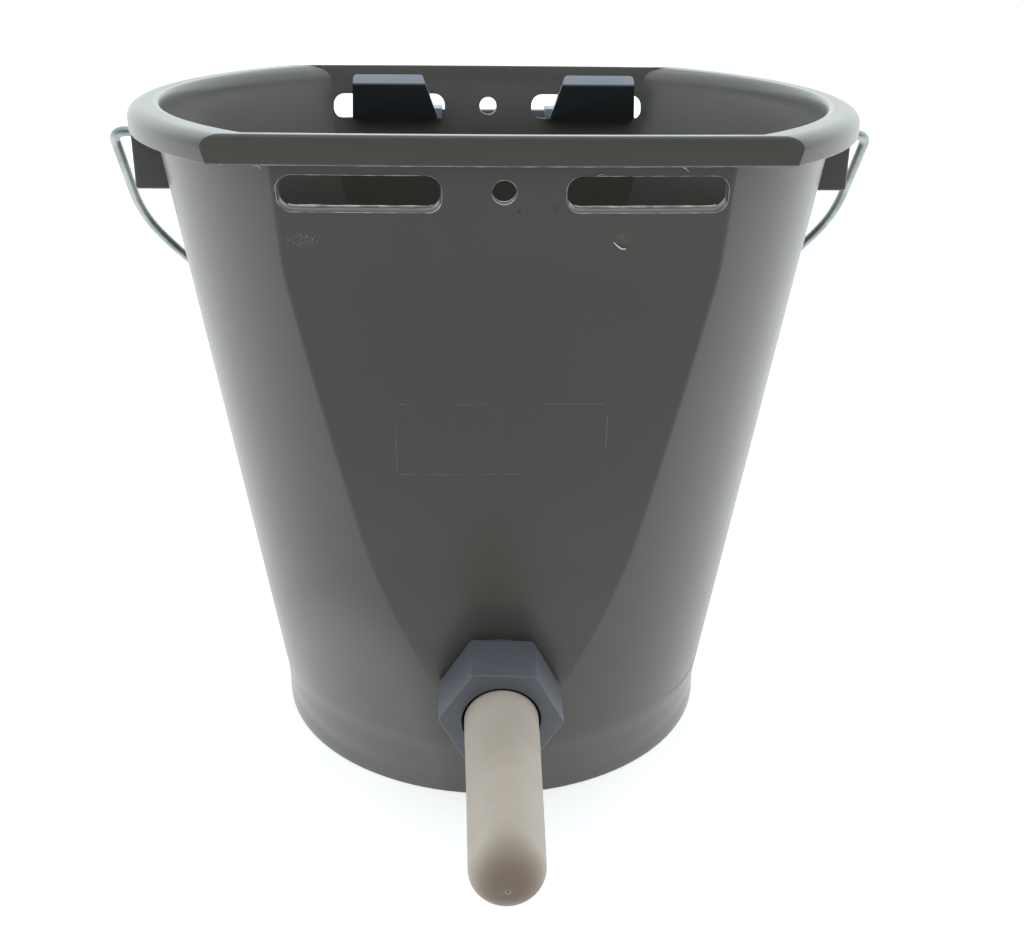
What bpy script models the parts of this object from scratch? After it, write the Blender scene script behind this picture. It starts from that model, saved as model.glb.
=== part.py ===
# Calf feeding bucket: a moulded bucket with two flat panels, a wire bail, a hanging bracket, and a
# rubber teat held by a union nut on a valve spigot.
# Metres, +Z up. The teat points to -Y and the origin is under the middle of the whole object.

from math import acos, atan, atan2, ceil, cos, hypot, pi, radians, sin, sqrt, tan

import bmesh
import bpy
from mathutils import Matrix, Vector

mm = 0.001

# Fits
seat_gap = 0.3 * mm            # between two pieces that touch
running_gap = 0.3 * mm         # round a piece that turns or slides in another

# Bucket wall
bucket_height = 265.0 * mm     # ground to the crest of the rim
wall = 3.5 * mm
base_radius = 93.8 * mm        # foot ring at the ground
foot_height = 16.0 * mm        # straight band round the foot
foot_draft = 0.4 * mm          # the band is this much wider at its top
foot_soft = 10.0 * mm          # the band runs into the taper over this much each way
foot_edge = 1.0 * mm
top_radius = 130.5 * mm        # round wall where the rim's skirt ends
panel_foot_flare = 2.8 * mm    # the flat panel stands this far outside the foot ring, at the foot
panel_knee_flare = 3.8 * mm    # and this far at the knee, where it starts to lean out
knee_height = 110.0 * mm
panel_bend = 103.2 * mm        # axis to the flat panel, at the bend under the slots
bend_below_crest = 45.0 * mm
bend_soft = 5.0 * mm           # the knee and the bend are rounded over this much each way
panel_top = 108.8 * mm         # at the rim
panel_bow = 1700.0 * mm        # the panels are bowed to this radius in plan
least_flat = 0.2 * mm          # the panels run out to flats this deep in the round foot
crease_radius = 8.0 * mm       # soft corner between panel and round wall
floor_height = 9.0 * mm        # underside of the floor
floor_corner = 8.0 * mm        # round corner inside, floor to wall
floor_edge = 2.0 * mm          # corner underneath, floor to foot ring
least_corner = 0.8 * mm        # no corner in plan is sharper

# Rim
rim_reach = 139.3 * mm         # axis to the outer edge over a lug
rim_shift = 17.0 * mm          # each end arc has its centre this far past the axis, so it is flatter
rim_panel = 111.6 * mm         # outer edge, flat part
rim_corner = 1.6 * mm          # corner between the two, in plan
rim_wall = 2.6 * mm
crest_wall = 3.6 * mm          # crest down to the underside of the rim
skirt_depth = 9.0 * mm         # crest down to the skirt's lower edge
skirt_draft = 0.9 * mm         # the skirt flares by this over the panels
skirt_edge = 0.5 * mm
rim_round = 4.0 * mm           # the rim's outer edge is rounded to this radius, round part
rim_round_panel = 1.6 * mm     # depth of the same rounding on the flat part
rim_across_panel = 3.4 * mm    # and its width
crest_inset = 10.6 * mm        # outer edge to the inner edge of the crest, round part
crest_inset_panel = 4.4 * mm   # the same on the flat part
lip_depth = 6.5 * mm           # crest down to where the lip starts inside
groove_least = 0.3 * mm        # the groove inside the skirt closes to this over the panels

# Slots and holes near the rim
slot_below_crest = 18.1 * mm   # crest to the centre line
slot_spacing = 93.2 * mm       # middle of one slot to the middle of the other
slot_length = 52.0 * mm
slot_width = 10.9 * mm
slot_round = 4.4 * mm          # upper corners
slot_foot_round = 2.6 * mm     # lower corners
slot_draft = 0.5 * mm          # each end opens by this through the wall
slot_fall = 1.4 * mm           # the sill falls by this through the wall
peep_hole_radius = 4.1 * mm
cut_margin = 4.0 * mm          # cutters reach this far past what they cut

# Bail of bent wire and the lugs that carry it
wire_radius = 2.0 * mm
pivot_below_crest = 15.2 * mm
lug_reach = 141.2 * mm         # axis to the outer face of a lug
lug_width = 20.0 * mm
lug_below_crest = 36.0 * mm    # crest to a lug's lower face
lug_round = 1.5 * mm
wire_seat = 10.0 * mm          # length of wire inside a lug
bail_stand = 9.2 * mm          # axis of the wire's straight part to the outer face of the lug
bail_bend = 5.0 * mm           # bend at each end of the wire
bail_side_height = 36.5 * mm   # pivots up to where the wire starts to turn in
bail_side = 80.0 * mm          # radius of the side arcs
bail_turn = 22.0               # degrees of side arc before the flatter grip arc

# Hanging bracket
bracket_shift = 2.6 * mm       # it hangs this far off centre
arm_gap = 1.2 * mm             # one arm stands this far from the near end of its slot
arm_far_gap = 3.8 * mm         # and the other this far from the far end of its own
arm_ledge = 1.8 * mm           # the arm shows this much beside the tongue
arm_thickness = 4.6 * mm
tongue_height = 19.6 * mm      # above the underside of the arm
tongue_thickness = 5.2 * mm
tongue_slant = 7.2 * mm        # the inner side leans in by this
tongue_chamfer = 4.2 * mm      # height of the slope along its top
tongue_flat = 1.0 * mm         # level strip behind the slope
tongue_round = 3.0 * mm        # upper corners
tongue_foot_round = 1.0 * mm   # lower corners
bracket_drop = 38.0 * mm       # height of the plate behind the bucket
bracket_step = 1.8 * mm        # the arms stand this much above the plate
bracket_proud = 1.0 * mm       # the plate's back stands behind the rim
bracket_round = 5.0 * mm       # lower corners of the plate
bracket_top_round = 1.5 * mm
bracket_edge = 0.8 * mm
shoulder_depth = 2.0 * mm      # the arms run down the plate's front by this
shoulder_reach = 3.0 * mm      # and into the plate by this
screw_hole_radius = 2.6 * mm
screw_head_radius = 5.2 * mm
screw_spacing = 84.0 * mm
screw_above_middle = 2.0 * mm  # the screws sit this much above the middle of the plate

# Spout: every height here is along the spout's own axis, from the panel outwards
spout_height = 56.0 * mm       # where the axis leaves the panel
spout_droop = 4.0              # degrees below level
neck_radius = 19.2 * mm
neck_height = 0.8 * mm
pad_radius = 25.0 * mm         # flat pad inside the wall
pad_depth = 5.2 * mm
spigot_radius = 16.8 * mm      # outside, over the thread
spigot_bore = 9.5 * mm
spigot_inlet = 4.6 * mm
spigot_flange = 24.0 * mm
spigot_edge = 0.8 * mm
inlet_edge = 1.5 * mm
flange_thickness = 3.4 * mm
gasket_thickness = 2.0 * mm
gasket_radius = 23.0 * mm
nut_length = 22.9 * mm
nut_across_flats = 41.0 * mm
nut_lip = 4.0 * mm             # thickness of the ring that holds the teat
nut_bore = 14.4 * mm           # radius of the hole in that ring
nut_corner = 1.6 * mm
nut_edge = 0.7 * mm
nut_rest_turn = -2.5           # degrees that the nut stands off square
teat_length = 109.0 * mm       # from the panel to the tip
teat_root = 13.8 * mm          # radius in the nut
teat_end = 12.7 * mm           # radius before the tip
teat_tip = 10.5 * mm           # depth of the rounded tip
teat_wall = 2.6 * mm
teat_flange = 3.2 * mm         # thickness of the clamped rim
teat_hole = 0.9 * mm
ball_radius = 6.4 * mm
ball_travel = 4.0 * mm
rib_width = 1.6 * mm           # guide ribs round the ball
rib_root = 0.4 * mm            # the ribs run into the spigot by this
cage_length = 5.0 * mm
cage_ring = 1.8 * mm
cage_bar = 2.2 * mm

# Facets
end_steps = 18                 # round the end of a section
lower_shares = (0.28, 0.47, 0.72)              # rings between the foot and the knee
upper_shares = (0.34, 0.67)                    # rings between the knee and the bend
rim_angles = (90.0, 67.5, 45.0, 22.5, 0.0)     # rings over the rim's rounding, in degrees
lip_shares = (0.35, 0.7, 0.92)                 # rings up the lip inside
crease_steps = 3
panel_steps = 8
turned_steps = 48
hole_steps = 28
socket_steps = 24
teat_steps = 40
cage_steps = 36
tip_steps = 8                  # down the teat's rounded tip
bend_angles = (-90.0, -67.5, -45.0, -22.5, 0.0)     # points of the wire's end bend, in degrees
wire_step = 5.0                # degrees of arc between two points of the wire

looks = {
    "bucket": ((0.235, 0.232, 0.200, 1.0), 0.45, 0.0),
    "wire": ((0.50, 0.51, 0.52, 1.0), 0.38, 1.0),
    "bracket": ((0.255, 0.275, 0.320, 1.0), 0.42, 0.0),
    "nut": ((0.270, 0.290, 0.335, 1.0), 0.45, 0.0),
    "teat": ((0.560, 0.500, 0.430, 1.0), 0.62, 0.0),
    "spigot": ((0.270, 0.290, 0.335, 1.0), 0.45, 0.0),
    "gasket": ((0.030, 0.030, 0.032, 1.0), 0.70, 0.0),
    "ball": ((0.820, 0.810, 0.780, 1.0), 0.35, 0.0),
    "cage": ((0.300, 0.320, 0.360, 1.0), 0.45, 0.0),
}


# Sizes that follow from the ones above

rim_radius = rim_reach + rim_shift
skirt_foot = bucket_height - skirt_depth
bend_height = bucket_height - bend_below_crest
slot_height = bucket_height - slot_below_crest
pivot_height = bucket_height - pivot_below_crest
lug_foot = bucket_height - lug_below_crest
bail_reach = lug_reach + bail_stand
panel_foot = base_radius + panel_foot_flare
panel_knee = base_radius + panel_knee_flare
droop = radians(spout_droop)


def past_bend(above, soft):
    """Height above a bend, rounded over for a length each way of it."""
    if abs(above) >= soft:
        return max(above, 0.0)
    return (above + soft) ** 2 / (4 * soft)


def wall_radius(z):
    """Outer radius of the round wall at a height."""
    draft = foot_draft / foot_height
    taper = (top_radius - base_radius - foot_draft) / (skirt_foot - foot_height)
    return base_radius + draft * z + (taper - draft) * past_bend(z - foot_height, foot_soft)


def panel_distance(z):
    """Distance from the axis to the middle of a flat panel's outer face at a height."""
    lower = (panel_knee - panel_foot) / knee_height
    middle = (panel_bend - panel_knee) / (bend_height - knee_height)
    upper = (panel_top - panel_bend) / (skirt_foot - bend_height)
    lean = panel_foot + lower * z
    lean += (middle - lower) * past_bend(z - knee_height, bend_soft)
    lean += (upper - middle) * past_bend(z - bend_height, bend_soft)
    return min(lean, wall_radius(z) - least_flat)


def bail_arcs():
    """Centre offset of the side arcs, and centre height and radius of the grip arc."""
    offset = bail_reach - bail_side
    grip_centre = bail_side_height - offset * tan(radians(bail_turn))
    grip_radius = bail_side + offset / cos(radians(bail_turn))
    return offset, grip_centre, grip_radius


def arc_points(centre, radius, start, end):
    """Points of an arc; angles in degrees."""
    steps = max(1, ceil(abs(end - start) / wire_step))
    angles = [radians(start + (end - start) * k / steps) for k in range(steps + 1)]
    return [(centre[0] + radius * cos(a), centre[1] + radius * sin(a)) for a in angles]


def bail_path():
    """The wire's centre line in its own plane, across and up, from one end to the other."""
    offset, grip_centre, grip_radius = bail_arcs()
    half = [(lug_reach - wire_seat, 0.0)]
    for angle in bend_angles:
        bent = radians(angle)
        half.append((bail_reach - bail_bend * (1 - cos(bent)), bail_bend * (1 + sin(bent))))
    half += arc_points((offset, bail_side_height), bail_side, 0.0, bail_turn)
    half += arc_points((0.0, grip_centre), grip_radius, bail_turn, 90.0)[1:]
    return half + [(-x, s) for x, s in reversed(half[:-1])]


def wall_reach(x, z, clear):
    """How far back the bucket's outside reaches at a point across it, grown by a clearance."""
    round_reach = sqrt(max((wall_radius(z) + clear) ** 2 - x * x, 0.0))
    flat_reach = panel_distance(z) + clear - panel_bow + sqrt(panel_bow ** 2 - x * x)
    return min(round_reach, flat_reach)


def bail_rest_angle():
    """Angle from straight down at which the hanging bail comes to lie on the back of the bucket."""
    free = [(x, up) for x, up in bail_path() if up > bail_bend]
    taper = atan((top_radius - base_radius) / (skirt_foot - foot_height))
    clear = (wire_radius + seat_gap) / cos(taper)
    low, high = 0.0, pi / 2
    for _ in range(40):
        angle = (low + high) / 2
        clears = all(up * sin(angle) > wall_reach(x, pivot_height - up * cos(angle), clear)
                     for x, up in free)
        low, high = (low, angle) if clears else (angle, high)
    return high


def corner_drop(from_end):
    """How far below the top of a slot a point must stay near the slot's rounded end."""
    beside = max(slot_round - from_end, 0.0)
    return slot_round - sqrt((slot_round - running_gap) ** 2 - beside ** 2)


arm_inner = (slot_spacing - slot_length) / 2 + bracket_shift + arm_gap + arm_ledge
arm_width = slot_length - 2 * bracket_shift - arm_gap - arm_far_gap - arm_ledge
arm_foot = slot_height - slot_width / 2 + seat_gap
arm_top = arm_foot + arm_thickness
arm_headroom = max(corner_drop(arm_gap) - bracket_edge, corner_drop(arm_gap + bracket_edge))
bracket_lift = slot_height + slot_width / 2 - arm_top - arm_headroom
plate_top = arm_top - bracket_step
plate_front = panel_distance(plate_top + bracket_lift) + running_gap
plate_back = rim_panel + skirt_draft + bracket_proud
tongue_back = wall_reach(bracket_shift + arm_inner + arm_width, arm_foot, -wall) - seat_gap

teat_reach = panel_distance(spout_height) + teat_length * cos(droop)
body_y = (teat_reach - plate_back) / 2

nut_back = neck_height + seat_gap
nut_front = nut_back + nut_length
teat_face = nut_front - nut_lip - seat_gap
spigot_front = teat_face - teat_flange - seat_gap
gasket_front = -pad_depth - seat_gap
gasket_back = gasket_front - gasket_thickness
flange_front = gasket_back - seat_gap
flange_back = flange_front - flange_thickness
nut_cavity = spigot_radius + running_gap
cage_front = spigot_front - seat_gap
ball_rest = cage_front - cage_length - seat_gap - ball_radius
ball_seat = ball_rest - ball_travel
seat_depth = ball_seat + spigot_inlet - (ball_radius + seat_gap) * sqrt(2)
seat_top = seat_depth + spigot_bore - spigot_inlet


# Scene and mesh helpers

def clear_scene():
    for item in list(bpy.data.objects):
        bpy.data.objects.remove(item, do_unlink=True)


def collection(name):
    made = bpy.data.collections.new(name)
    bpy.context.scene.collection.children.link(made)
    return made


def finish(name, look):
    colour, roughness, metallic = looks[look]
    material = bpy.data.materials.new(name)
    material.use_nodes = True
    shader = material.node_tree.nodes["Principled BSDF"]
    shader.inputs["Base Color"].default_value = colour
    shader.inputs["Roughness"].default_value = roughness
    shader.inputs["Metallic"].default_value = metallic
    return material


def add_object(name, mesh, group, parent=None):
    item = bpy.data.objects.new(name, mesh)
    group.objects.link(item)
    item.parent = parent
    return item


def mesh_from(name, build):
    """A mesh filled by a function that works on a bmesh."""
    work = bmesh.new()
    build(work)
    bmesh.ops.recalc_face_normals(work, faces=work.faces)
    mesh = bpy.data.meshes.new(name)
    work.to_mesh(mesh)
    work.free()
    return mesh


def add_cutter(name, mesh, group, parent=None):
    item = add_object(name, mesh, group, parent)
    item.hide_render = True
    item.display_type = "WIRE"
    return item


def cut(item, group, operation="DIFFERENCE"):
    """Cut a collection of solids from a piece, or join it to the piece."""
    boolean = item.modifiers.new(group.name, "BOOLEAN")
    boolean.operand_type = "COLLECTION"
    boolean.collection = group
    boolean.operation = operation
    boolean.solver = "EXACT"


def bevel(item, width, segments=2, angle=35.0):
    modifier = item.modifiers.new("rounded_edges", "BEVEL")
    modifier.width = width
    modifier.segments = segments
    modifier.limit_method = "ANGLE"
    modifier.angle_limit = radians(angle)
    modifier.use_clamp_overlap = True


def shade(item, material_name, look):
    item.data.materials.append(finish(material_name, look))


def turned_mesh(name, profile, closed=False):
    """A profile of (radius, height), drawn down its outer side, for a Screw modifier."""
    def build(work):
        points = [work.verts.new((radius, 0.0, height)) for radius, height in profile]
        for first, second in zip(points, points[1:]):
            work.edges.new((first, second))
        if closed:
            work.edges.new((points[-1], points[0]))
    return mesh_from(name, build)


def turn(item, steps=turned_steps):
    screw = item.modifiers.new("turned", "SCREW")
    screw.axis = "Z"
    screw.angle = 2 * pi
    screw.steps = steps
    screw.render_steps = steps
    screw.use_merge_vertices = True
    screw.merge_threshold = 0.00005
    screw.use_smooth_shade = False


def cylinder_mesh(name, radius, low, high, steps=turned_steps, upper_radius=None):
    """A cylinder or cone along Z between two heights."""
    upper = radius if upper_radius is None else upper_radius

    def build(work):
        place = Matrix.Translation((0, 0, (low + high) / 2))
        bmesh.ops.create_cone(work, cap_ends=True, cap_tris=False, segments=steps,
                              radius1=radius, radius2=upper, depth=high - low, matrix=place)
    return mesh_from(name, build)


def box_mesh(name, low, high):
    def build(work):
        size = [b - a for a, b in zip(low, high)]
        centre = [(a + b) / 2 for a, b in zip(low, high)]
        place = Matrix.Translation(centre) @ Matrix.Diagonal((*size, 1.0))
        bmesh.ops.create_cube(work, size=1.0, matrix=place)
    return mesh_from(name, build)


def prism_mesh(name, front, back):
    """A solid between two outlines with the same number of points."""
    def build(work):
        first = [work.verts.new(point) for point in front]
        second = [work.verts.new(point) for point in back]
        count = len(first)
        work.faces.new(first)
        work.faces.new(list(reversed(second)))
        for i in range(count):
            j = (i + 1) % count
            work.faces.new((first[i], first[j], second[j], second[i]))
    return mesh_from(name, build)


def rounded_outline(corners, radii, steps=4):
    """A closed 2D outline with an arc at each corner."""
    outline = []
    count = len(corners)
    for i, (corner, radius) in enumerate(zip(corners, radii)):
        here = Vector(corner)
        to_last = (Vector(corners[i - 1]) - here).normalized()
        to_next = (Vector(corners[(i + 1) % count]) - here).normalized()
        half = acos(max(-1.0, min(1.0, to_last.dot(to_next)))) / 2
        centre = here + (to_last + to_next).normalized() * radius / sin(half)
        start = here + to_last * radius / tan(half) - centre
        end = here + to_next * radius / tan(half) - centre
        first, last = atan2(start.y, start.x), atan2(end.y, end.x)
        sweep = (last - first + pi) % (2 * pi) - pi
        for k in range(steps + 1):
            angle = first + sweep * k / steps
            outline.append((centre.x + radius * cos(angle), centre.y + radius * sin(angle)))
    return outline


# Bucket body: rings of one section, a circle with two bowed sides, from the floor to the foot

def section(radius, distance, corner, shift=0.0):
    """Outline of two end arcs and two bowed panels, with rounded corners, from +X round to +X.

    An end arc has its centre at the shift past the axis, and a corner's centre lies where the end arc
    and the panel's arc cross after both are drawn in by the corner's radius.
    """
    centre = distance - panel_bow
    reach = radius - corner
    apart = hypot(shift, centre)
    along = (reach ** 2 - (panel_bow - corner) ** 2 + apart ** 2) / (2 * apart)
    aside = sqrt(reach ** 2 - along ** 2)
    corner_x = (along * shift - aside * centre) / apart - shift
    corner_y = (along * centre + aside * shift) / apart
    side_end = atan2(corner_y, corner_x + shift)
    panel_end = atan2(corner_y - centre, corner_x)
    quarter = []
    for k in range(end_steps // 2):
        angle = side_end * k / (end_steps // 2)
        quarter.append((radius * cos(angle) - shift, radius * sin(angle)))
    for k in range(crease_steps + 1):
        angle = side_end + (panel_end - side_end) * k / crease_steps
        quarter.append((corner_x + corner * cos(angle), corner_y + corner * sin(angle)))
    for k in range(1, panel_steps // 2 + 1):
        angle = panel_end + (pi / 2 - panel_end) * k / (panel_steps // 2)
        quarter.append((panel_bow * cos(angle), centre + panel_bow * sin(angle)))
    half = quarter + [(-x, y) for x, y in reversed(quarter[:-1])]
    return half + [(x, -y) for x, y in reversed(half[1:-1])]


def wall_ring(z, inset=0.0):
    """The wall's section at a height, drawn in by a distance."""
    corner = max(crease_radius - inset, least_corner)
    return z, section(wall_radius(z) - inset, panel_distance(z) - inset, corner)


def rim_ring(z, inset, distance):
    """The rim's section: the end arcs drawn in by a distance, and the flat part's own distance."""
    return z, section(rim_radius - inset, distance, max(rim_corner - inset, least_corner), rim_shift)


def round_over(depth, across, down):
    """How far a rounded edge is drawn in at a depth below its top."""
    share = 1 - min(depth / down, 1.0)
    return across * (1 - sqrt(1 - share ** 2))


def wall_heights():
    """Heights of the wall's rings between the foot and the skirt, from below."""
    heights = [foot_height + foot_soft]
    heights += [foot_height + (knee_height - foot_height) * share for share in lower_shares]
    heights += [knee_height - bend_soft, knee_height, knee_height + bend_soft]
    heights += [knee_height + (bend_height - knee_height) * share for share in upper_shares]
    return heights + [bend_height - bend_soft, bend_height, bend_height + bend_soft]


def lip_rings():
    """From the wall inside up to the crest, in a quarter round."""
    start_z, start = wall_ring(bucket_height - lip_depth, wall)
    crest_z, crest = rim_ring(bucket_height, crest_inset, rim_panel - crest_inset_panel)
    rings = [(start_z, start)]
    for share in lip_shares:
        angle = share * pi / 2
        lean = 1 - cos(angle)
        ring = [(a[0] + (b[0] - a[0]) * lean, a[1] + (b[1] - a[1]) * lean) for a, b in zip(start, crest)]
        rings.append((start_z + lip_depth * sin(angle), ring))
    return rings + [(crest_z, crest)]


def inner_rings():
    """The floor inside, the wall inside, over the rim, and down to the skirt's lower edge."""
    floor_top = floor_height + wall
    rings = [wall_ring(floor_top, wall + floor_corner * 3)]
    for k in range(4):
        angle = radians(30.0 * k)
        rings.append(wall_ring(floor_top + floor_corner * (1 - cos(angle)),
                               wall + floor_corner * (1 - sin(angle))))
    rings += [wall_ring(z, wall) for z in wall_heights()]
    rings += lip_rings()
    for angle in rim_angles:
        depth = rim_round * (1 - sin(radians(angle)))
        inset = round_over(depth, rim_round, rim_round)
        distance = rim_panel - round_over(depth, rim_across_panel, rim_round_panel)
        rings.append(rim_ring(bucket_height - depth, inset, distance))
    rings.append(rim_ring(skirt_foot + skirt_edge, 0.0, rim_panel + skirt_draft))
    rings.append(rim_ring(skirt_foot, skirt_edge, rim_panel + skirt_draft - skirt_edge))
    return rings


def outer_rings():
    """Up inside the skirt, down the wall outside, round the foot, and in under the floor."""
    under = bucket_height - crest_wall
    groove = max(rim_panel - rim_wall, panel_distance(under) + groove_least)
    rings = [rim_ring(skirt_foot, rim_wall, max(rim_panel + skirt_draft - rim_wall, groove)),
             rim_ring(under, rim_wall, groove),
             wall_ring(under),
             wall_ring(skirt_foot)]
    rings += [wall_ring(z) for z in reversed(wall_heights())]
    rings += [wall_ring(z) for z in (foot_height, foot_height - foot_soft, foot_edge)]
    rings += [wall_ring(0.0, foot_edge), wall_ring(0.0, wall)]
    return rings + [wall_ring(floor_height - floor_edge, wall), wall_ring(floor_height, wall + floor_edge)]


def body_mesh():
    """The wall, floor, rim and foot as one closed skin of rings."""
    def build(work):
        rows = [[work.verts.new((x, y, z)) for x, y in ring] for z, ring in inner_rings() + outer_rings()]
        count = len(rows[0])
        for upper, lower in zip(rows, rows[1:]):
            for i in range(count):
                j = (i + 1) % count
                work.faces.new((upper[i], lower[i], lower[j], upper[j]))
        work.faces.new(rows[0])
        work.faces.new(list(reversed(rows[-1])))
        bmesh.ops.translate(work, verts=work.verts, vec=(0, body_y, 0))
    return mesh_from("bucket_body", build)


def slot_cutter_mesh(name, centre_x, side):
    """A drafted slot through one panel; side is -1 for the front panel and 1 for the back."""
    low = slot_height - slot_width / 2
    high = slot_height + slot_width / 2
    inner_y = wall_reach(slot_spacing / 2 + slot_length / 2, low, -wall)
    outer_y = wall_reach(slot_spacing / 2 - slot_length / 2, high, 0.0)

    def outline(y):
        through = (y - inner_y) / wall
        half = slot_length / 2 + slot_draft * through
        sill = low - slot_fall * through
        corners = ((-half, sill), (half, sill), (half, high), (-half, high))
        rounds = (slot_foot_round, slot_foot_round, slot_round, slot_round)
        return [(centre_x + u, side * y + body_y, v) for u, v in rounded_outline(corners, rounds)]
    return prism_mesh(name, outline(inner_y - cut_margin), outline(outer_y + cut_margin))


def lug_mesh(name, side):
    """A solid lug from inside the wall out to its flat outer face."""
    top = bucket_height - crest_wall / 2
    shape = ((wall_radius(lug_foot) - wall / 2, lug_foot), (lug_reach, lug_foot),
             (lug_reach, top), (wall_radius(top) - wall / 2, top))
    near = [(side * x, body_y - lug_width / 2, z) for x, z in shape]
    far = [(side * x, body_y + lug_width / 2, z) for x, z in shape]
    return prism_mesh(name, near, far)


def make_bucket(group, joined, cutters, spout):
    body = add_object("bucket_body", body_mesh(), group)
    for side, label in ((-1, "left"), (1, "right")):
        lug = add_cutter("lug_" + label, lug_mesh("lug_" + label, side), joined)
        bevel(lug, lug_round)
        start = lug_reach - wire_seat - running_gap
        socket = cylinder_mesh("wire_socket_" + label, wire_radius + running_gap, start,
                               lug_reach + cut_margin, socket_steps)
        hole = add_cutter("wire_socket_" + label, socket, cutters)
        hole.location = (0, body_y, pivot_height)
        hole.rotation_euler.y = side * pi / 2
    neck = cylinder_mesh("spout_neck", neck_radius, -wall / 2, neck_height)
    add_cutter("spout_neck", neck, joined, spout)
    pad = cylinder_mesh("spout_pad", pad_radius, -pad_depth, -wall / 2)
    add_cutter("spout_pad", pad, joined, spout)
    for side, face in ((-1, "front"), (1, "back")):
        for half, label in ((-1, "left"), (1, "right")):
            name = "slot_%s_%s" % (face, label)
            add_cutter(name, slot_cutter_mesh(name, half * slot_spacing / 2, side), cutters)
    reach = panel_distance(slot_height) + cut_margin
    holes = cylinder_mesh("peep_holes", peep_hole_radius, -reach, reach, hole_steps)
    peep = add_cutter("peep_holes", holes, cutters)
    peep.location = (0, body_y, slot_height)
    peep.rotation_euler.x = pi / 2
    bore = cylinder_mesh("spout_bore", spigot_radius + running_gap, -pad_depth - cut_margin,
                         neck_height + cut_margin)
    add_cutter("spout_bore", bore, cutters, spout)
    cut(body, joined, "UNION")
    cut(body, cutters)
    shade(body, "bucket_plastic", "bucket")
    return body


# Bail

def make_bail(group):
    pivot = bpy.data.objects.new("bail_pivot", None)
    group.objects.link(pivot)
    pivot.location = (0, body_y, pivot_height)
    pivot.rotation_euler.x = pi + bail_rest_angle()
    curve = bpy.data.curves.new("bail_wire", "CURVE")
    curve.dimensions = "3D"
    curve.bevel_depth = wire_radius
    curve.bevel_resolution = 2
    curve.use_fill_caps = True
    path = bail_path()
    spline = curve.splines.new("POLY")
    spline.points.add(len(path) - 1)
    for point, (across, up) in zip(spline.points, path):
        point.co = (across, 0.0, up, 1.0)
    bail = bpy.data.objects.new("bail_handle", curve)
    group.objects.link(bail)
    bail.parent = pivot
    shade(bail, "galvanised_wire", "wire")
    return bail


# Hanging bracket

def tongue_mesh(name, side):
    """One tongue: upright, with its inner side leaning in."""
    inner = side * arm_inner
    outer = side * (arm_inner + arm_width)
    top = arm_foot + tongue_height
    shape = [(inner, arm_foot), (outer, arm_foot), (outer, top), (inner + side * tongue_slant, top)]
    if side < 0:
        shape.reverse()
    rounds = [tongue_foot_round if z == arm_foot else tongue_round for _, z in shape]
    outline = rounded_outline(shape, rounds)
    near = [(x, tongue_back - tongue_thickness, z) for x, z in outline]
    far = [(x, tongue_back, z) for x, z in outline]
    return prism_mesh(name, near, far)


def tongue_slope_mesh(name, side):
    """What is cut off along a tongue's top, so that it slopes down to the inside of the bucket."""
    top = arm_foot + tongue_height
    front = tongue_back - tongue_thickness
    ledge = tongue_back - tongue_flat
    steep = tongue_chamfer / (ledge - front)
    shape = ((front - cut_margin, top - tongue_chamfer - steep * cut_margin), (ledge, top),
             (ledge, top + cut_margin), (front - cut_margin, top + cut_margin))
    ends = sorted((side * (arm_inner - cut_margin), side * (arm_inner + arm_width + cut_margin)))
    return prism_mesh(name, [(ends[0], y, z) for y, z in shape], [(ends[1], y, z) for y, z in shape])


def make_bracket(group, joined, cutters):
    origin = Vector((bracket_shift, body_y, 0))
    half = arm_inner + arm_width
    plate_low = plate_top - bracket_drop
    corners = ((-half, plate_low), (half, plate_low), (half, plate_top), (-half, plate_top))
    rounds = (bracket_round, bracket_round, bracket_top_round, bracket_top_round)
    outline = rounded_outline(corners, rounds)
    front = [(x, plate_front, z) for x, z in outline]
    back = [(x, plate_back, z) for x, z in outline]
    plate = add_object("hanging_bracket", prism_mesh("hanging_bracket", front, back), group)
    plate.location = origin
    screw_z = plate_low + bracket_drop / 2 + screw_above_middle
    sink_radius = screw_head_radius + cut_margin
    sink_foot = plate_front + screw_head_radius - screw_hole_radius
    for side, label in ((-1, "left"), (1, "right")):
        near, far = sorted((side * (arm_inner - arm_ledge), side * half))
        arm = box_mesh("arm_" + label, (near, tongue_back - tongue_thickness / 2, arm_foot),
                       (far, plate_front + shoulder_reach, arm_top))
        shoulder = box_mesh("shoulder_" + label, (near, plate_front, arm_foot - shoulder_depth),
                            (far, plate_front + shoulder_reach, arm_top))
        screw = origin + Vector((side * screw_spacing / 2, 0, screw_z))
        hole = cylinder_mesh("screw_hole_" + label, screw_hole_radius, plate_front - cut_margin,
                             plate_back + cut_margin, socket_steps)
        sink = cylinder_mesh("screw_head_" + label, sink_radius, plate_front - cut_margin,
                             sink_foot, socket_steps, screw_hole_radius)
        for name, mesh in (("arm_", arm), ("shoulder_", shoulder),
                           ("tongue_", tongue_mesh("tongue_" + label, side))):
            add_cutter(name + label, mesh, joined).location = origin
        slope = tongue_slope_mesh("tongue_slope_" + label, side)
        add_cutter("tongue_slope_" + label, slope, cutters).location = origin
        for name, mesh in (("screw_hole_", hole), ("screw_head_", sink)):
            drill = add_cutter(name + label, mesh, cutters)
            drill.location = screw
            drill.rotation_euler.x = -pi / 2
    cut(plate, joined, "UNION")
    cut(plate, cutters)
    bevel(plate, bracket_edge, 1, 40.0)
    shade(plate, "bracket_plastic", "bracket")
    return plate


# Spout: every piece is turned about the spout's axis, with local +Z pointing out of the bucket

def make_spout_axis(group):
    spout = bpy.data.objects.new("spout_axis", None)
    group.objects.link(spout)
    spout.location = (0, body_y - panel_distance(spout_height), spout_height)
    spout.rotation_euler.x = pi / 2 + droop
    return spout


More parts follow.
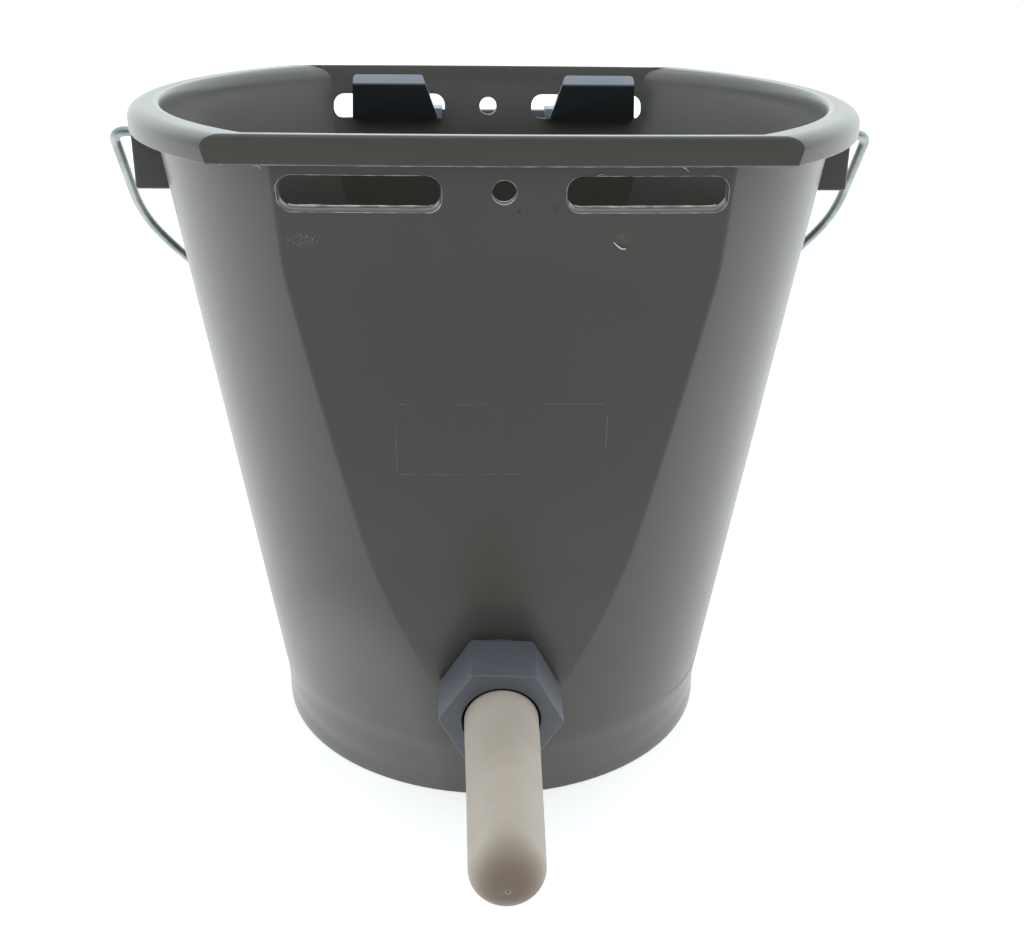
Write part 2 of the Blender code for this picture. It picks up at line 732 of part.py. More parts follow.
def make_gasket(group, spout):
    inner = spigot_radius + running_gap
    profile = ((inner, gasket_front), (gasket_radius, gasket_front),
               (gasket_radius, gasket_back), (inner, gasket_back))
    gasket = add_object("spigot_gasket", turned_mesh("spigot_gasket", profile, True), group, spout)
    turn(gasket)
    shade(gasket, "gasket_rubber", "gasket")
    return gasket


def make_spigot(group, joined, cutters, spout):
    edge = spigot_edge
    profile = (
        (spigot_bore, spigot_front),
        (spigot_radius - edge, spigot_front),
        (spigot_radius, spigot_front - edge),
        (spigot_radius, flange_front),
        (spigot_flange - edge, flange_front),
        (spigot_flange, flange_front - edge),
        (spigot_flange, flange_back + edge),
        (spigot_flange - edge, flange_back),
        (spigot_inlet + inlet_edge, flange_back),
        (spigot_inlet, flange_back + inlet_edge),
        (spigot_inlet, seat_depth),
        (spigot_bore, seat_top),
    )
    spigot = add_object("valve_spigot", turned_mesh("valve_spigot", profile, True), group, spout)
    turn(spigot)
    rib_top = cage_front - cage_length - seat_gap
    rib_foot = seat_top - rib_root
    reach = spigot_bore + rib_root
    for k, label in ((0, "first"), (1, "second")):
        name = "guide_ribs_" + label
        ribs = box_mesh(name, (-reach, -rib_width / 2, rib_foot), (reach, rib_width / 2, rib_top))
        add_cutter(name, ribs, joined, spout).rotation_euler.z = pi / 4 + k * pi / 2
    way = cylinder_mesh("ball_way", ball_radius + running_gap, rib_foot, rib_top + cut_margin, hole_steps)
    add_cutter("ball_way", way, cutters, spout)
    cut(spigot, joined, "UNION")
    cut(spigot, cutters)
    shade(spigot, "spigot_plastic", "spigot")
    return spigot


def make_cage(group, joined, spout):
    outer = spigot_bore - running_gap
    inner = outer - cage_ring
    low = cage_front - cage_length
    profile = ((inner, cage_front), (outer, cage_front), (outer, low), (inner, low))
    cage = add_object("valve_cage", turned_mesh("valve_cage", profile, True), group, spout)
    turn(cage, cage_steps)
    reach = inner + cage_ring / 2
    for k, label in ((0, "first"), (1, "second")):
        name = "cage_bar_" + label
        bar = box_mesh(name, (-reach, -cage_bar / 2, low), (reach, cage_bar / 2, low + cage_bar))
        add_cutter(name, bar, joined, spout).rotation_euler.z = k * pi / 2
    cut(cage, joined, "UNION")
    shade(cage, "cage_plastic", "cage")
    return cage


def make_ball(group, spout):
    def build(work):
        bmesh.ops.create_uvsphere(work, u_segments=20, v_segments=12, radius=ball_radius)
    ball = add_object("valve_ball", mesh_from("valve_ball", build), group, spout)
    ball.location.z = ball_rest
    shade(ball, "ball_plastic", "ball")
    return ball


def make_nut(group, cutters, spout):
    corner = nut_across_flats / sqrt(3)
    corners = [(corner * cos(radians(60 * k)), corner * sin(radians(60 * k))) for k in range(6)]
    outline = rounded_outline(corners, [nut_corner] * 6, 3)
    low = [(x, y, nut_back) for x, y in outline]
    high = [(x, y, nut_front) for x, y in outline]
    nut = add_object("teat_nut", prism_mesh("teat_nut", high, low), group, spout)
    nut.rotation_euler.z = radians(nut_rest_turn)
    bevel(nut, nut_edge, 2, 50.0)
    ring_foot = nut_front - nut_lip
    cavity = cylinder_mesh("nut_cavity", nut_cavity, nut_back - cut_margin, ring_foot)
    add_cutter("nut_cavity", cavity, cutters, spout)
    bore = cylinder_mesh("nut_bore", nut_bore, ring_foot - cut_margin, nut_front + cut_margin)
    add_cutter("nut_bore", bore, cutters, spout)
    cut(nut, cutters)
    shade(nut, "nut_plastic", "nut")
    return nut


def make_teat(group, spout):
    flange = nut_cavity - running_gap
    tip_start = teat_length - teat_tip
    bore_end = teat_end - teat_wall
    bore_root = teat_root - teat_wall
    flange_foot = teat_face - teat_flange
    profile = [(teat_hole, teat_length)]
    for k in range(1, tip_steps + 1):
        angle = pi / 2 * k / tip_steps
        profile.append((teat_end * sin(angle), tip_start + teat_tip * cos(angle)))
    profile += [
        (teat_root, nut_front),
        (teat_root, teat_face),
        (flange, teat_face),
        (flange, flange_foot),
        (bore_root, flange_foot),
        (bore_root, nut_front),
    ]
    for k in range(tip_steps, 0, -2):
        angle = pi / 2 * k / tip_steps
        profile.append((bore_end * sin(angle), tip_start + (teat_tip - teat_wall) * cos(angle)))
    profile.append((teat_hole, tip_start + teat_tip - teat_wall))
    teat = add_object("teat", turned_mesh("teat", profile, True), group, spout)
    turn(teat, teat_steps)
    shade(teat, "teat_rubber", "teat")
    return teat


def main():
    clear_scene()
    group = collection("calf_feeding_bucket")
    cutters = collection("cutters")
    sets = {}
    for name in ("bucket_joined", "bucket_cuts", "bracket_joined", "bracket_cuts", "nut_cuts", "cage_joined",
                 "spigot_joined", "spigot_cuts"):
        sets[name] = bpy.data.collections.new(name)
        cutters.children.link(sets[name])
    spout = make_spout_axis(group)
    make_bucket(group, sets["bucket_joined"], sets["bucket_cuts"], spout)
    make_bail(group)
    make_bracket(group, sets["bracket_joined"], sets["bracket_cuts"])
    make_gasket(group, spout)
    make_spigot(group, sets["spigot_joined"], sets["spigot_cuts"], spout)
    make_cage(group, sets["cage_joined"], spout)
    make_ball(group, spout)
    make_nut(group, sets["nut_cuts"], spout)
    make_teat(group, spout)


main()
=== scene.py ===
from math import acos, atan2, cos, exp, hypot, pi, radians, sin, sqrt, tan

import bmesh
import bpy
from mathutils import Matrix, Vector, noise


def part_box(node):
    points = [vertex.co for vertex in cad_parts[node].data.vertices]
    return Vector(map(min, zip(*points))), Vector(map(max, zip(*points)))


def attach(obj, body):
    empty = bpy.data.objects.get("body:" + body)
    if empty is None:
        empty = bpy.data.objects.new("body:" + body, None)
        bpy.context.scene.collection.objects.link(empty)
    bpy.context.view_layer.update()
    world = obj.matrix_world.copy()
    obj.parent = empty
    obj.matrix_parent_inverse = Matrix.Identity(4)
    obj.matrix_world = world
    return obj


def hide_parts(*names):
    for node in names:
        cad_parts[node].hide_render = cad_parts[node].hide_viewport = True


mm = 0.001
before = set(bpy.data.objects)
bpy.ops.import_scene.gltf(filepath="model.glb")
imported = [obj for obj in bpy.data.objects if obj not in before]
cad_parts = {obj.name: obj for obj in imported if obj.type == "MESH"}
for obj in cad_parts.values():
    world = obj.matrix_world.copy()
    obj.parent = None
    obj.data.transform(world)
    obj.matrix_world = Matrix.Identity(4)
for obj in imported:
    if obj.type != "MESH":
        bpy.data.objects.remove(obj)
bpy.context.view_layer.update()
bodyLow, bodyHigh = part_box("bucket_body")
axisY = (bodyLow.y + bodyHigh.y) / 2 / mm      # the bucket's own axis stands here


# Shader maths

class Term:  # wraps a socket, so that a mask is written as a plain expression
    def __init__(self, finish, socket):
        self.finish = finish
        self.socket = socket

    def math(self, operation, first, second=0.0):
        return self.finish.math(operation, first, second)

    def __add__(self, other):
        return self.math("ADD", self, other)

    def __radd__(self, other):
        return self.math("ADD", other, self)

    def __sub__(self, other):
        return self.math("SUBTRACT", self, other)

    def __rsub__(self, other):
        return self.math("SUBTRACT", other, self)

    def __mul__(self, other):
        return self.math("MULTIPLY", self, other)

    def __rmul__(self, other):
        return self.math("MULTIPLY", other, self)

    def __abs__(self):
        return self.math("ABSOLUTE", self)

    def most(self, other):
        return self.math("MAXIMUM", self, other)

    def least(self, other):
        return self.math("MINIMUM", self, other)


class Finish:  # one material's nodes
    def __init__(self, name, tree=None):
        if tree is None:
            self.material = bpy.data.materials.new(name)
            self.material.use_nodes = True
            tree = self.material.node_tree
        self.tree = tree
        self.tree.nodes.clear()

    def node(self, kind, settings=None, inputs=None, output=0):
        made = self.tree.nodes.new(kind)
        for name, value in (settings or {}).items():
            setattr(made, name, value)
        for name, value in (inputs or {}).items():
            if isinstance(value, Term):
                self.tree.links.new(value.socket, made.inputs[name])
            else:
                made.inputs[name].default_value = value
        return Term(self, made.outputs[output] if len(made.outputs) else None)

    def math(self, operation, first, second=0.0):
        return self.node("ShaderNodeMath", {"operation": operation}, {0: first, 1: second})

    def place(self):
        return self.node("ShaderNodeTexCoord", output="Object")

    def split(self, value):  # the three parts of a vector
        parts = self.node("ShaderNodeSeparateXYZ", inputs={0: value}).socket.node
        return [Term(self, out) for out in parts.outputs]

    def axes(self):  # x, y and z in millimetres
        return [part * 1000.0 for part in self.split(self.place())]

    def rays(self, *kinds):  # 1 for rays of these kinds
        outs = self.node("ShaderNodeLightPath").socket.node.outputs
        share = Term(self, outs[kinds[0]])
        for kind in kinds[1:]:
            share = share.most(Term(self, outs[kind]))
        return share

    def along(self, origin, axis):  # millimetres from a point along an axis
        away = self.node("ShaderNodeVectorMath", {"operation": "SUBTRACT"},
                         {0: self.place(), 1: Vector(origin) * mm})
        return self.node("ShaderNodeVectorMath", {"operation": "DOT_PRODUCT"},
                         {0: away, 1: axis}, "Value") * 1000.0

    def noise(self, scale, detail, stretch=(1, 1, 1)):
        where = self.node("ShaderNodeVectorMath", {"operation": "MULTIPLY"}, {0: self.place(), 1: stretch})
        return self.node("ShaderNodeTexNoise", inputs={"Vector": where, "Scale": scale, "Detail": detail})

    def step(self, value, low, high):  # 0 below low, 1 above high
        return self.node("ShaderNodeMapRange", {"interpolation_type": "SMOOTHSTEP"},
                         {"Value": value, "From Min": low, "From Max": high})

    def spot(self, x, z, atX, atZ, reachX, reachZ):  # 1 in the middle of an ellipse, 0 outside it
        across = (x - atX) * (1.0 / reachX)
        up = (z - atZ) * (1.0 / reachZ)
        return 1.0 - self.step(across * across + up * up, 0.25, 1.0)

    def mix(self, share, first, second):
        ends = {0: share}
        for at, colour in ((6, first), (7, second)):
            ends[at] = colour if isinstance(colour, Term) else (*colour, 1.0)
        return self.node("ShaderNodeMix", {"data_type": "RGBA"}, ends, 2)

    def mottle(self, look):  # two colours in clouds
        scale, detail, *ends = look["clouds"]
        share = self.noise(scale, detail)
        return self.mix(self.step(share, *ends) if ends else share, look["dark"], look["light"])

    def specks(self, tone, look):
        scale, detail, low, high, share = look["specks"]
        return self.mix(self.step(self.noise(scale, detail), low, high) * share, tone, look["speck"])

    def marks(self, x, z, spots):  # spots, some of them broken up by noise
        total = 0.0
        for ellipse, *broken in spots:
            mark = self.spot(x, z, *ellipse)
            if broken:
                mark = mark * self.step(self.noise(*broken[0]), *broken[1])
            total = mark + total
        return total

    def rough(self, look):  # the least roughness, with a share of clouds above it
        least, *wear = look["rough"]
        return least + wear[0] * self.noise(*wear[1:]) if wear else least

    def grain(self, look, height=0.0):
        for scale, detail, share in look["grain"]:
            height = self.noise(scale, detail) * share + height
        return self.bump(height, look["depth"], look["strength"])

    def bump(self, height, distance, strength):
        inputs = {"Strength": strength, "Distance": distance * mm, "Height": height}
        return self.node("ShaderNodeBump", inputs=inputs)

    def surface(self, sockets):
        shader = self.node("ShaderNodeBsdfPrincipled", inputs=sockets)
        self.node("ShaderNodeOutputMaterial", inputs={"Surface": shader})
        return self.material


# Mesh helpers

def meshObject(name, work, matrix=Matrix()):
    bmesh.ops.transform(work, matrix=Matrix.Scale(mm, 4) @ matrix, verts=work.verts)
    mesh = bpy.data.meshes.new(name)
    work.to_mesh(mesh)
    work.free()
    made = bpy.data.objects.new(name, mesh)
    bpy.context.scene.collection.objects.link(made)
    return made


def addPiece(name, work, material, body, sharp=30.0, replaces=None):
    bmesh.ops.recalc_face_normals(work, faces=work.faces)
    piece = meshObject(name, work)
    piece.data.materials.append(material)
    piece.data.shade_smooth()
    piece.data.set_sharp_from_angle(angle=radians(sharp))
    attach(piece, body)
    if replaces:
        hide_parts(replaces)
    return piece


def addToBucket(name, work, material, sharp=60.0):
    return addPiece(name, work, material, "bucket", sharp)


def loftRings(work, rings, capFirst=False, capLast=False, around=True):
    rows = [[work.verts.new(point) for point in ring] for ring in rings]
    count = len(rows[0])
    for upper, lower in zip(rows, rows[1:]):
        for i in range(count if around else count - 1):
            j = (i + 1) % count
            work.faces.new((upper[i], lower[i], lower[j], upper[j]))
    if capFirst:
        work.faces.new(rows[0])
    if capLast:
        work.faces.new(list(reversed(rows[-1])))
    return rows


def closeLoft(work, rings):
    # the last ring meets the first again
    rows = loftRings(work, rings + [rings[0]])
    bmesh.ops.remove_doubles(work, verts=rows[0] + rows[-1], dist=1e-6)


def quarterRound(steps):
    # a quarter arc of radius 1 in steps: how far it still has to go, and how far it has turned aside
    angles = [pi / 2 * k / steps for k in range(steps + 1)]
    return [(1 - sin(angle), 1 - cos(angle)) for angle in angles]


def sweepTube(work, path, radii, sides, closed=False):
    # rings carried along the path without twist
    count = len(path)
    rings = []
    across = None
    for i, point in enumerate(path):
        before = path[(i - 1) % count] if closed or i else path[0]
        after = path[(i + 1) % count] if closed or i < count - 1 else path[-1]
        ahead = (after - before).normalized()
        if across is None:
            across = ahead.orthogonal().normalized()
        across = (across - ahead * across.dot(ahead)).normalized()
        side = ahead.cross(across)
        radius = radii[i] if isinstance(radii, (list, tuple)) else radii
        rings.append([point + (across * cos(2 * pi * k / sides) + side * sin(2 * pi * k / sides)) * radius
                      for k in range(sides)])
    if closed:
        closeLoft(work, rings)
    else:
        loftRings(work, rings, True, True)


def tubeOnBucket(name, path, radii, sides, material):
    work = bmesh.new()
    sweepTube(work, path, radii, sides)
    addToBucket(name, work, material)


def raggedTube(work, path, radius, rag, sides, closed=False):
    # its thickness wanders along the path: the least share, the swing above it and how fast it changes
    least, swing, scale = rag
    radii = [radius * (least + swing * noise.noise(point * scale)) for point in path]
    sweepTube(work, path, radii, sides, closed)


def turnRings(profile, place, steps, shift=None):
    # rings of a profile of (radius, height) round a placed Z axis
    rings = []
    for radius, height in profile:
        aside = shift(height) if shift else 0.0
        rings.append([place @ Vector((radius * cos(2 * pi * k / steps) + aside,
                                      radius * sin(2 * pi * k / steps), height)) for k in range(steps)])
    return rings


def roundOff(profile, radii, steps=4):
    # each corner of a closed profile becomes an arc of its own radius
    outline = []
    count = len(profile)
    for i, (corner, radius) in enumerate(zip(profile, radii)):
        here = Vector(corner)
        toLast = Vector(profile[i - 1]) - here
        toNext = Vector(profile[(i + 1) % count]) - here
        if radius <= 0:
            outline.append(tuple(here))
            continue
        toLast.normalize()
        toNext.normalize()
        half = acos(max(-1.0, min(1.0, toLast.dot(toNext)))) / 2
        centre = here + (toLast + toNext).normalized() * radius / sin(half)
        start = here + toLast * radius / tan(half) - centre
        end = here + toNext * radius / tan(half) - centre
        first = atan2(start.y, start.x)
        sweep = (atan2(end.y, end.x) - first + pi) % (2 * pi) - pi
        for k in range(steps + 1):
            angle = first + sweep * k / steps
            outline.append((centre.x + radius * cos(angle), centre.y + radius * sin(angle)))
    return outline


def addPrism(work, front, back):
    loftRings(work, [front, back], True, True)


def addSlab(work, outline, near, far, place=Matrix()):
    # an outline in X and Z, drawn out along Y
    addPrism(work, *([place @ Vector((x, y, z)) for x, z in outline] for y in (near, far)))


def addBlock(work, low, high):
    corners = [(low[0], low[1]), (high[0], low[1]), (high[0], high[1]), (low[0], high[1])]
    addPrism(work, *([Vector((x, y, z)) for x, y in corners] for z in (low[2], high[2])))


def looseSolid(name, work, matrix=Matrix()):
    # a helper solid for a boolean, taken away again afterwards
    bmesh.ops.recalc_face_normals(work, faces=work.faces)
    return meshObject(name, work, matrix)


def combine(piece, solids, operation):
    group = bpy.data.collections.new(operation)
    for solid in solids:
        group.objects.link(solid)
    modifier = piece.modifiers.new(operation, "BOOLEAN")
    modifier.operand_type = "COLLECTION"
    modifier.collection = group
    modifier.operation = operation
    modifier.solver = "EXACT"


def settle(piece, solids, sharp):
    # the modifiers' result becomes the mesh, and the helper solids go
    graph = bpy.context.evaluated_depsgraph_get()
    mesh = bpy.data.meshes.new_from_object(piece.evaluated_get(graph))
    old = piece.data
    piece.modifiers.clear()
    piece.data = mesh
    mesh.name = old.name
    mesh.set_sharp_from_angle(angle=radians(sharp))
    bpy.data.meshes.remove(old)
    for solid in solids:
        bpy.data.objects.remove(solid)


# Bucket

shell = {
    "height": 265.0, "wall": 3.5,
    "baseRadius": 93.8, "footHeight": 16.0, "footDraft": 0.4, "footSoft": 10.0, "footEdge": 1.0,
    "topRadius": 130.5, "panelFoot": 96.6, "panelKnee": 97.6, "kneeHeight": 110.0,
    "panelBend": 103.2, "bendHeight": 220.0, "bendSoft": 5.0, "panelTop": 108.8,
    "panelBow": 1700.0, "leastFlat": 0.2, "creaseRadius": 4.2, "leastCorner": 0.5,
    "floorHeight": 9.0, "floorCorner": 8.0, "floorEdge": 2.0,
    "endSteps": 28, "creaseSteps": 6, "panelSteps": 14,
}
rim = {
    "reach": 139.3, "shift": 17.0, "panel": 111.6, "corner": 1.0, "wall": 2.6, "crestWall": 3.6,
    "skirtDepth": 9.0, "skirtDraft": 0.9, "skirtEdge": 0.5,
    "round": 4.4, "across": 6.0, "edgePanel": 0.8, "leanPanel": 2.9,
    "crestInset": 10.6, "crestInsetPanel": 5.5,
    "lipDepth": 6.5, "grooveLeast": 0.3, "roundSteps": 16, "lipSteps": 10,
}
sinkBands = [(8.0, 3.6, 0.42), (19.0, 4.6, 0.50)]     # soft bands round the foot: height, half-width, depth
skirtFoot = shell["height"] - rim["skirtDepth"]
rimRadius = rim["reach"] + rim["shift"]


def pastBend(above, soft):
    return max(above, 0.0) if abs(above) >= soft else (above + soft) ** 2 / (4 * soft)


def wallRadius(z):
    s = shell
    draft = s["footDraft"] / s["footHeight"]
    taper = (s["topRadius"] - s["baseRadius"] - s["footDraft"]) / (skirtFoot - s["footHeight"])
    return s["baseRadius"] + draft * z + (taper - draft) * pastBend(z - s["footHeight"], s["footSoft"])


def panelDistance(z):
    s = shell
    lower = (s["panelKnee"] - s["panelFoot"]) / s["kneeHeight"]
    middle = (s["panelBend"] - s["panelKnee"]) / (s["bendHeight"] - s["kneeHeight"])
    upper = (s["panelTop"] - s["panelBend"]) / (skirtFoot - s["bendHeight"])
    lean = s["panelFoot"] + lower * z
    lean += (middle - lower) * pastBend(z - s["kneeHeight"], s["bendSoft"])
    lean += (upper - middle) * pastBend(z - s["bendHeight"], s["bendSoft"])
    return min(lean, wallRadius(z) - s["leastFlat"])


def section(radius, distance, corner, shift=0.0):
    # two end arcs with their centres a shift past the axis, and two bowed panels, with rounded corners
    bow = shell["panelBow"]
    centre = distance - bow
    reach = radius - corner
    apart = hypot(shift, centre)
    along = (reach ** 2 - (bow - corner) ** 2 + apart ** 2) / (2 * apart)
    aside = sqrt(reach ** 2 - along ** 2)
    cornerX = (along * shift - aside * centre) / apart - shift
    cornerY = (along * centre + aside * shift) / apart
    sideEnd = atan2(cornerY, cornerX + shift)
    panelEnd = atan2(cornerY - centre, cornerX)
    quarter = []
    for k in range(shell["endSteps"]):
        angle = sideEnd * k / shell["endSteps"]
        quarter.append((radius * cos(angle) - shift, radius * sin(angle)))
    for k in range(shell["creaseSteps"] + 1):
        angle = sideEnd + (panelEnd - sideEnd) * k / shell["creaseSteps"]
        quarter.append((cornerX + corner * cos(angle), cornerY + corner * sin(angle)))
    for k in range(1, shell["panelSteps"] + 1):
        angle = panelEnd + (pi / 2 - panelEnd) * k / shell["panelSteps"]
        quarter.append((bow * cos(angle), centre + bow * sin(angle)))
    half = quarter + [(-x, y) for x, y in reversed(quarter[:-1])]
    return half + [(x, -y) for x, y in reversed(half[1:-1])]


def wallRing(z, inset=0.0):
    corner = max(shell["creaseRadius"] - inset, shell["leastCorner"])
    return z, section(wallRadius(z) - inset, panelDistance(z) - inset, corner)


def rimRing(z, inset, distance):
    corner = max(rim["corner"] - inset, shell["leastCorner"])
    return z, section(rimRadius - inset, distance, corner, rim["shift"])


def roundOver(depth, across, down):
    share = 1 - min(depth / down, 1.0)
    return across * (1 - sqrt(1 - share ** 2))


def panelEdge(depth):
    # the rim's face over a panel leans back and ends in a small round
    lean = rim["leanPanel"] * (1 - depth / rim["skirtDepth"])
    return lean + roundOver(depth, rim["edgePanel"], rim["edgePanel"])


def sinkDepth(angle, z):
    # how far the foot has sunk in cooling
    sink = 0.0
    for at, half, depth in sinkBands:
        wander = 1.3 * sin(2 * angle + at) + 0.9 * sin(5 * angle + 2 * at)
        sink += depth * (0.75 + 0.25 * sin(3 * angle + at)) * exp(-((z - at - wander) / half) ** 2)
    return sink


def outerWallPoint(angle, z):
    radius = wallRadius(z) - sinkDepth(angle, z)
    return radius * cos(angle), radius * sin(angle)


def outerWallRing(z):
    height, ring = wallRing(z)
    shaped = []
    for x, y in ring:
        keep = 1 - sinkDepth(atan2(y, x), z) / hypot(x, y)
        shaped.append((x * keep, y * keep))
    return height, shaped


def wallHeights(low, high):
    marks = {low, high}
    z = low
    while z < high:
        marks.add(z)
        near = min(abs(z - shell["kneeHeight"]), abs(z - shell["bendHeight"]))
        z += 1.6 if z < 32 else 1.4 if near < 7 else 5.0
    return sorted(marks)


def crestSweep(foot):
    # from the wall inside up over the lip, in a quarter round
    height = shell["height"]
    startZ, start = wallRing(height - rim["lipDepth"], shell["wall"])
    crest = rimRing(height, rim["crestInset"], rim["panel"] - rim["crestInsetPanel"])[1]
    rings = []
    for below, lean in quarterRound(rim["lipSteps"]):
        ring = [(a[0] + (b[0] - a[0]) * lean, a[1] + (b[1] - a[1]) * lean) for a, b in zip(start, crest)]
        rings.append((startZ + rim["lipDepth"] * (1 - below), ring))
    for _, share in quarterRound(rim["roundSteps"]):
        depth = rim["round"] * share
        rings.append(rimRing(height - depth, roundOver(depth, rim["across"], rim["round"]),
                             rim["panel"] + rim["skirtDraft"] - panelEdge(depth)))
    return rings + [rimRing(foot, 0.0, rim["panel"] + rim["skirtDraft"])]


def shellRings():
    height = shell["height"]
    wall = shell["wall"]
    corner = shell["floorCorner"]
    floorTop = shell["floorHeight"] + wall
    rings = [wallRing(floorTop, wall + corner * 3)]
    rings += [wallRing(floorTop + corner * up, wall + corner * inset) for inset, up in quarterRound(6)]
    rings += [wallRing(z, wall) for z in wallHeights(floorTop + corner + 3, height - rim["lipDepth"] - 2)]
    edge = rim["skirtEdge"]
    rings += crestSweep(skirtFoot + edge)
    face = rim["panel"] + rim["skirtDraft"]
    for up, inset in quarterRound(3)[1:]:
        rings.append(rimRing(skirtFoot + edge * up, edge * inset, face - edge * inset))
    under = height - rim["crestWall"]
    groove = max(rim["panel"] - rim["wall"], panelDistance(under) + rim["grooveLeast"])
    inner = max(face - rim["wall"], groove)
    rings += [rimRing(skirtFoot, rim["wall"], inner), rimRing(under, rim["wall"], groove)]
    rings += [wallRing(under), wallRing(skirtFoot)]
    rings += [outerWallRing(z) for z in reversed(wallHeights(shell["footEdge"], skirtFoot - 2))]
    sole = shell["footEdge"]
    rings += [wallRing(sole * up, sole * inset) for up, inset in quarterRound(3)[1:]]
    rings += [wallRing(0.0, wall), wallRing(shell["floorHeight"] - shell["floorEdge"], wall)]
    return rings + [wallRing(shell["floorHeight"], wall + shell["floorEdge"])]


slots = {
    "height": 246.9, "spacing": 93.2, "length": 52.0, "width": 10.9, "round": 5.0, "footRound": 4.6,
    "draft": 0.5, "fall": 1.4, "edge": 0.35, "peepRadius": 4.1, "peepEdge": 0.3, "boreRadius": 17.1,
}
spout = {"height": 56.0, "droop": 4.0}
spoutFace = Matrix.Translation((0, axisY - panelDistance(spout["height"]), spout["height"]))
spoutPlace = spoutFace @ Matrix.Rotation(pi / 2 + radians(spout["droop"]), 4, "X")
spoutOrigin = spoutPlace.to_translation()
spoutAxis = (spoutPlace @ Vector((0, 0, 1)) - spoutOrigin).normalized()


def bowAt(x):
    # how far a bowed panel stands back beside its middle
    return sqrt(shell["panelBow"] ** 2 - x * x) - shell["panelBow"]


def wallPoint(x, z, side, out=0.0):
    # a point on the wall's outer face at the front or back, or a step outside it
    roundReach = sqrt(max((wallRadius(z) + out) ** 2 - x * x, 0.0))
    reach = min(roundReach, panelDistance(z) + out + bowAt(x))
    return Vector((x, axisY + side * reach, z))


def turnPiece(name, profile, radii, material, replaces=None, steps=96, sharp=30.0, arc=4):
    # a rounded profile turned round the spout's axis
    work = bmesh.new()
    closeLoft(work, turnRings(roundOff(profile, radii, arc), spoutPlace, steps))
    return addPiece(name, work, material, "bucket", sharp, replaces)


def crossedBars(name, reach, half, low, high, turn=0.0):
    # two bars at right angles across the spout's bore
    bars = []
    for angle in (turn, turn + pi / 2):
        work = bmesh.new()
        addBlock(work, (-reach, -half, low), (reach, half, high))
        bars.append(looseSolid(name, work, spoutPlace @ Matrix.Rotation(angle, 4, "Z")))
    return bars


def slotOutline(through, grow=0.0, steps=8):
    # the slot's outline about its middle; through is 0 at the inner face and 1 at the outer
    half = slots["length"] / 2 + slots["draft"] * through + grow
    sill = -slots["width"] / 2 - slots["fall"] * through - grow
    top = slots["width"] / 2 + grow
    corners = [(-half, sill), (half, sill), (half, top), (-half, top)]
    radii = [slots["footRound"] + grow] * 2 + [slots["round"] + grow] * 2
    return roundOff(corners, radii, steps)


def edgeOffsets(edge):
    # distance outside the wall's outer face, and growth of the outline, with both edges rounded over
    wall = shell["wall"]
    wide = edge * 0.8
    turns = [(edge * (1 - sin(radians(a))), edge * (1 - cos(radians(a)))) for a in (0, 24, 48, 72)]
    pairs = [(-wall - 4.0, wide), (-wall - 0.05, wide)]
    pairs += [(down - wall, grow) for down, grow in reversed(turns)]
    return pairs + [(-down, grow) for down, grow in turns] + [(0.05, wide), (3.0, wide)]


def wallCutter(name, side, outlineAt, edge):
    # a cutter whose rings follow the wall's bow and lean
    work = bmesh.new()
    rings = []
    for offset, grow in edgeOffsets(edge):
        through = min(max(1 + offset / shell["wall"], -0.5), 1.5)
        rings.append([wallPoint(x, z, side, offset) for x, z in outlineAt(through, grow)])
    loftRings(work, rings, True, True)
    return looseSolid(name, work)


def slotCutter(centreX, side):
    def outlineAt(through, grow):
        return [(centreX + u, slots["height"] + v) for u, v in slotOutline(through, grow)]
    return wallCutter("slotCutter", side, outlineAt, slots["edge"])


def peepCutter(side):
    def outlineAt(through, grow):
        radius = slots["peepRadius"] + grow
        angles = [2 * pi * k / 40 for k in range(40)]
        return [(radius * cos(a), slots["height"] + radius * sin(a)) for a in angles]
    return wallCutter("peepCutter", side, outlineAt, slots["peepEdge"])


def rodCutter(radius, low, high, place, steps=64):
    work = bmesh.new()
    loftRings(work, turnRings([(radius, low), (radius, high)], place, steps), True, True)
    return looseSolid("rodCutter", work)


def makeShell(plastic):
    work = bmesh.new()
    rings = [[Vector((x, y + axisY, z)) for x, y in ring] for z, ring in shellRings()]
    loftRings(work, rings, True, True)
    piece = addPiece("bucketShell", work, plastic, "bucket", replaces="bucket_body")
    cutters = [slotCutter(half * slots["spacing"] / 2, side) for side in (-1, 1) for half in (-1, 1)]
    cutters += [peepCutter(-1), peepCutter(1)]
    cutters.append(rodCutter(slots["boreRadius"], -12.0, 8.0, spoutPlace))
    combine(piece, cutters, "DIFFERENCE")
    settle(piece, cutters, 30)
    print("bucket shell:", len(piece.data.polygons), "faces")


lugs = {
    "reach": 141.2, "width": 20.0, "low": 229.0, "sunk": 1.5, "round": 1.2, "shoulder": 2.6,
    "socket": 2.3, "seat": 10.0, "bottom": 0.3, "pivot": 249.8,
}


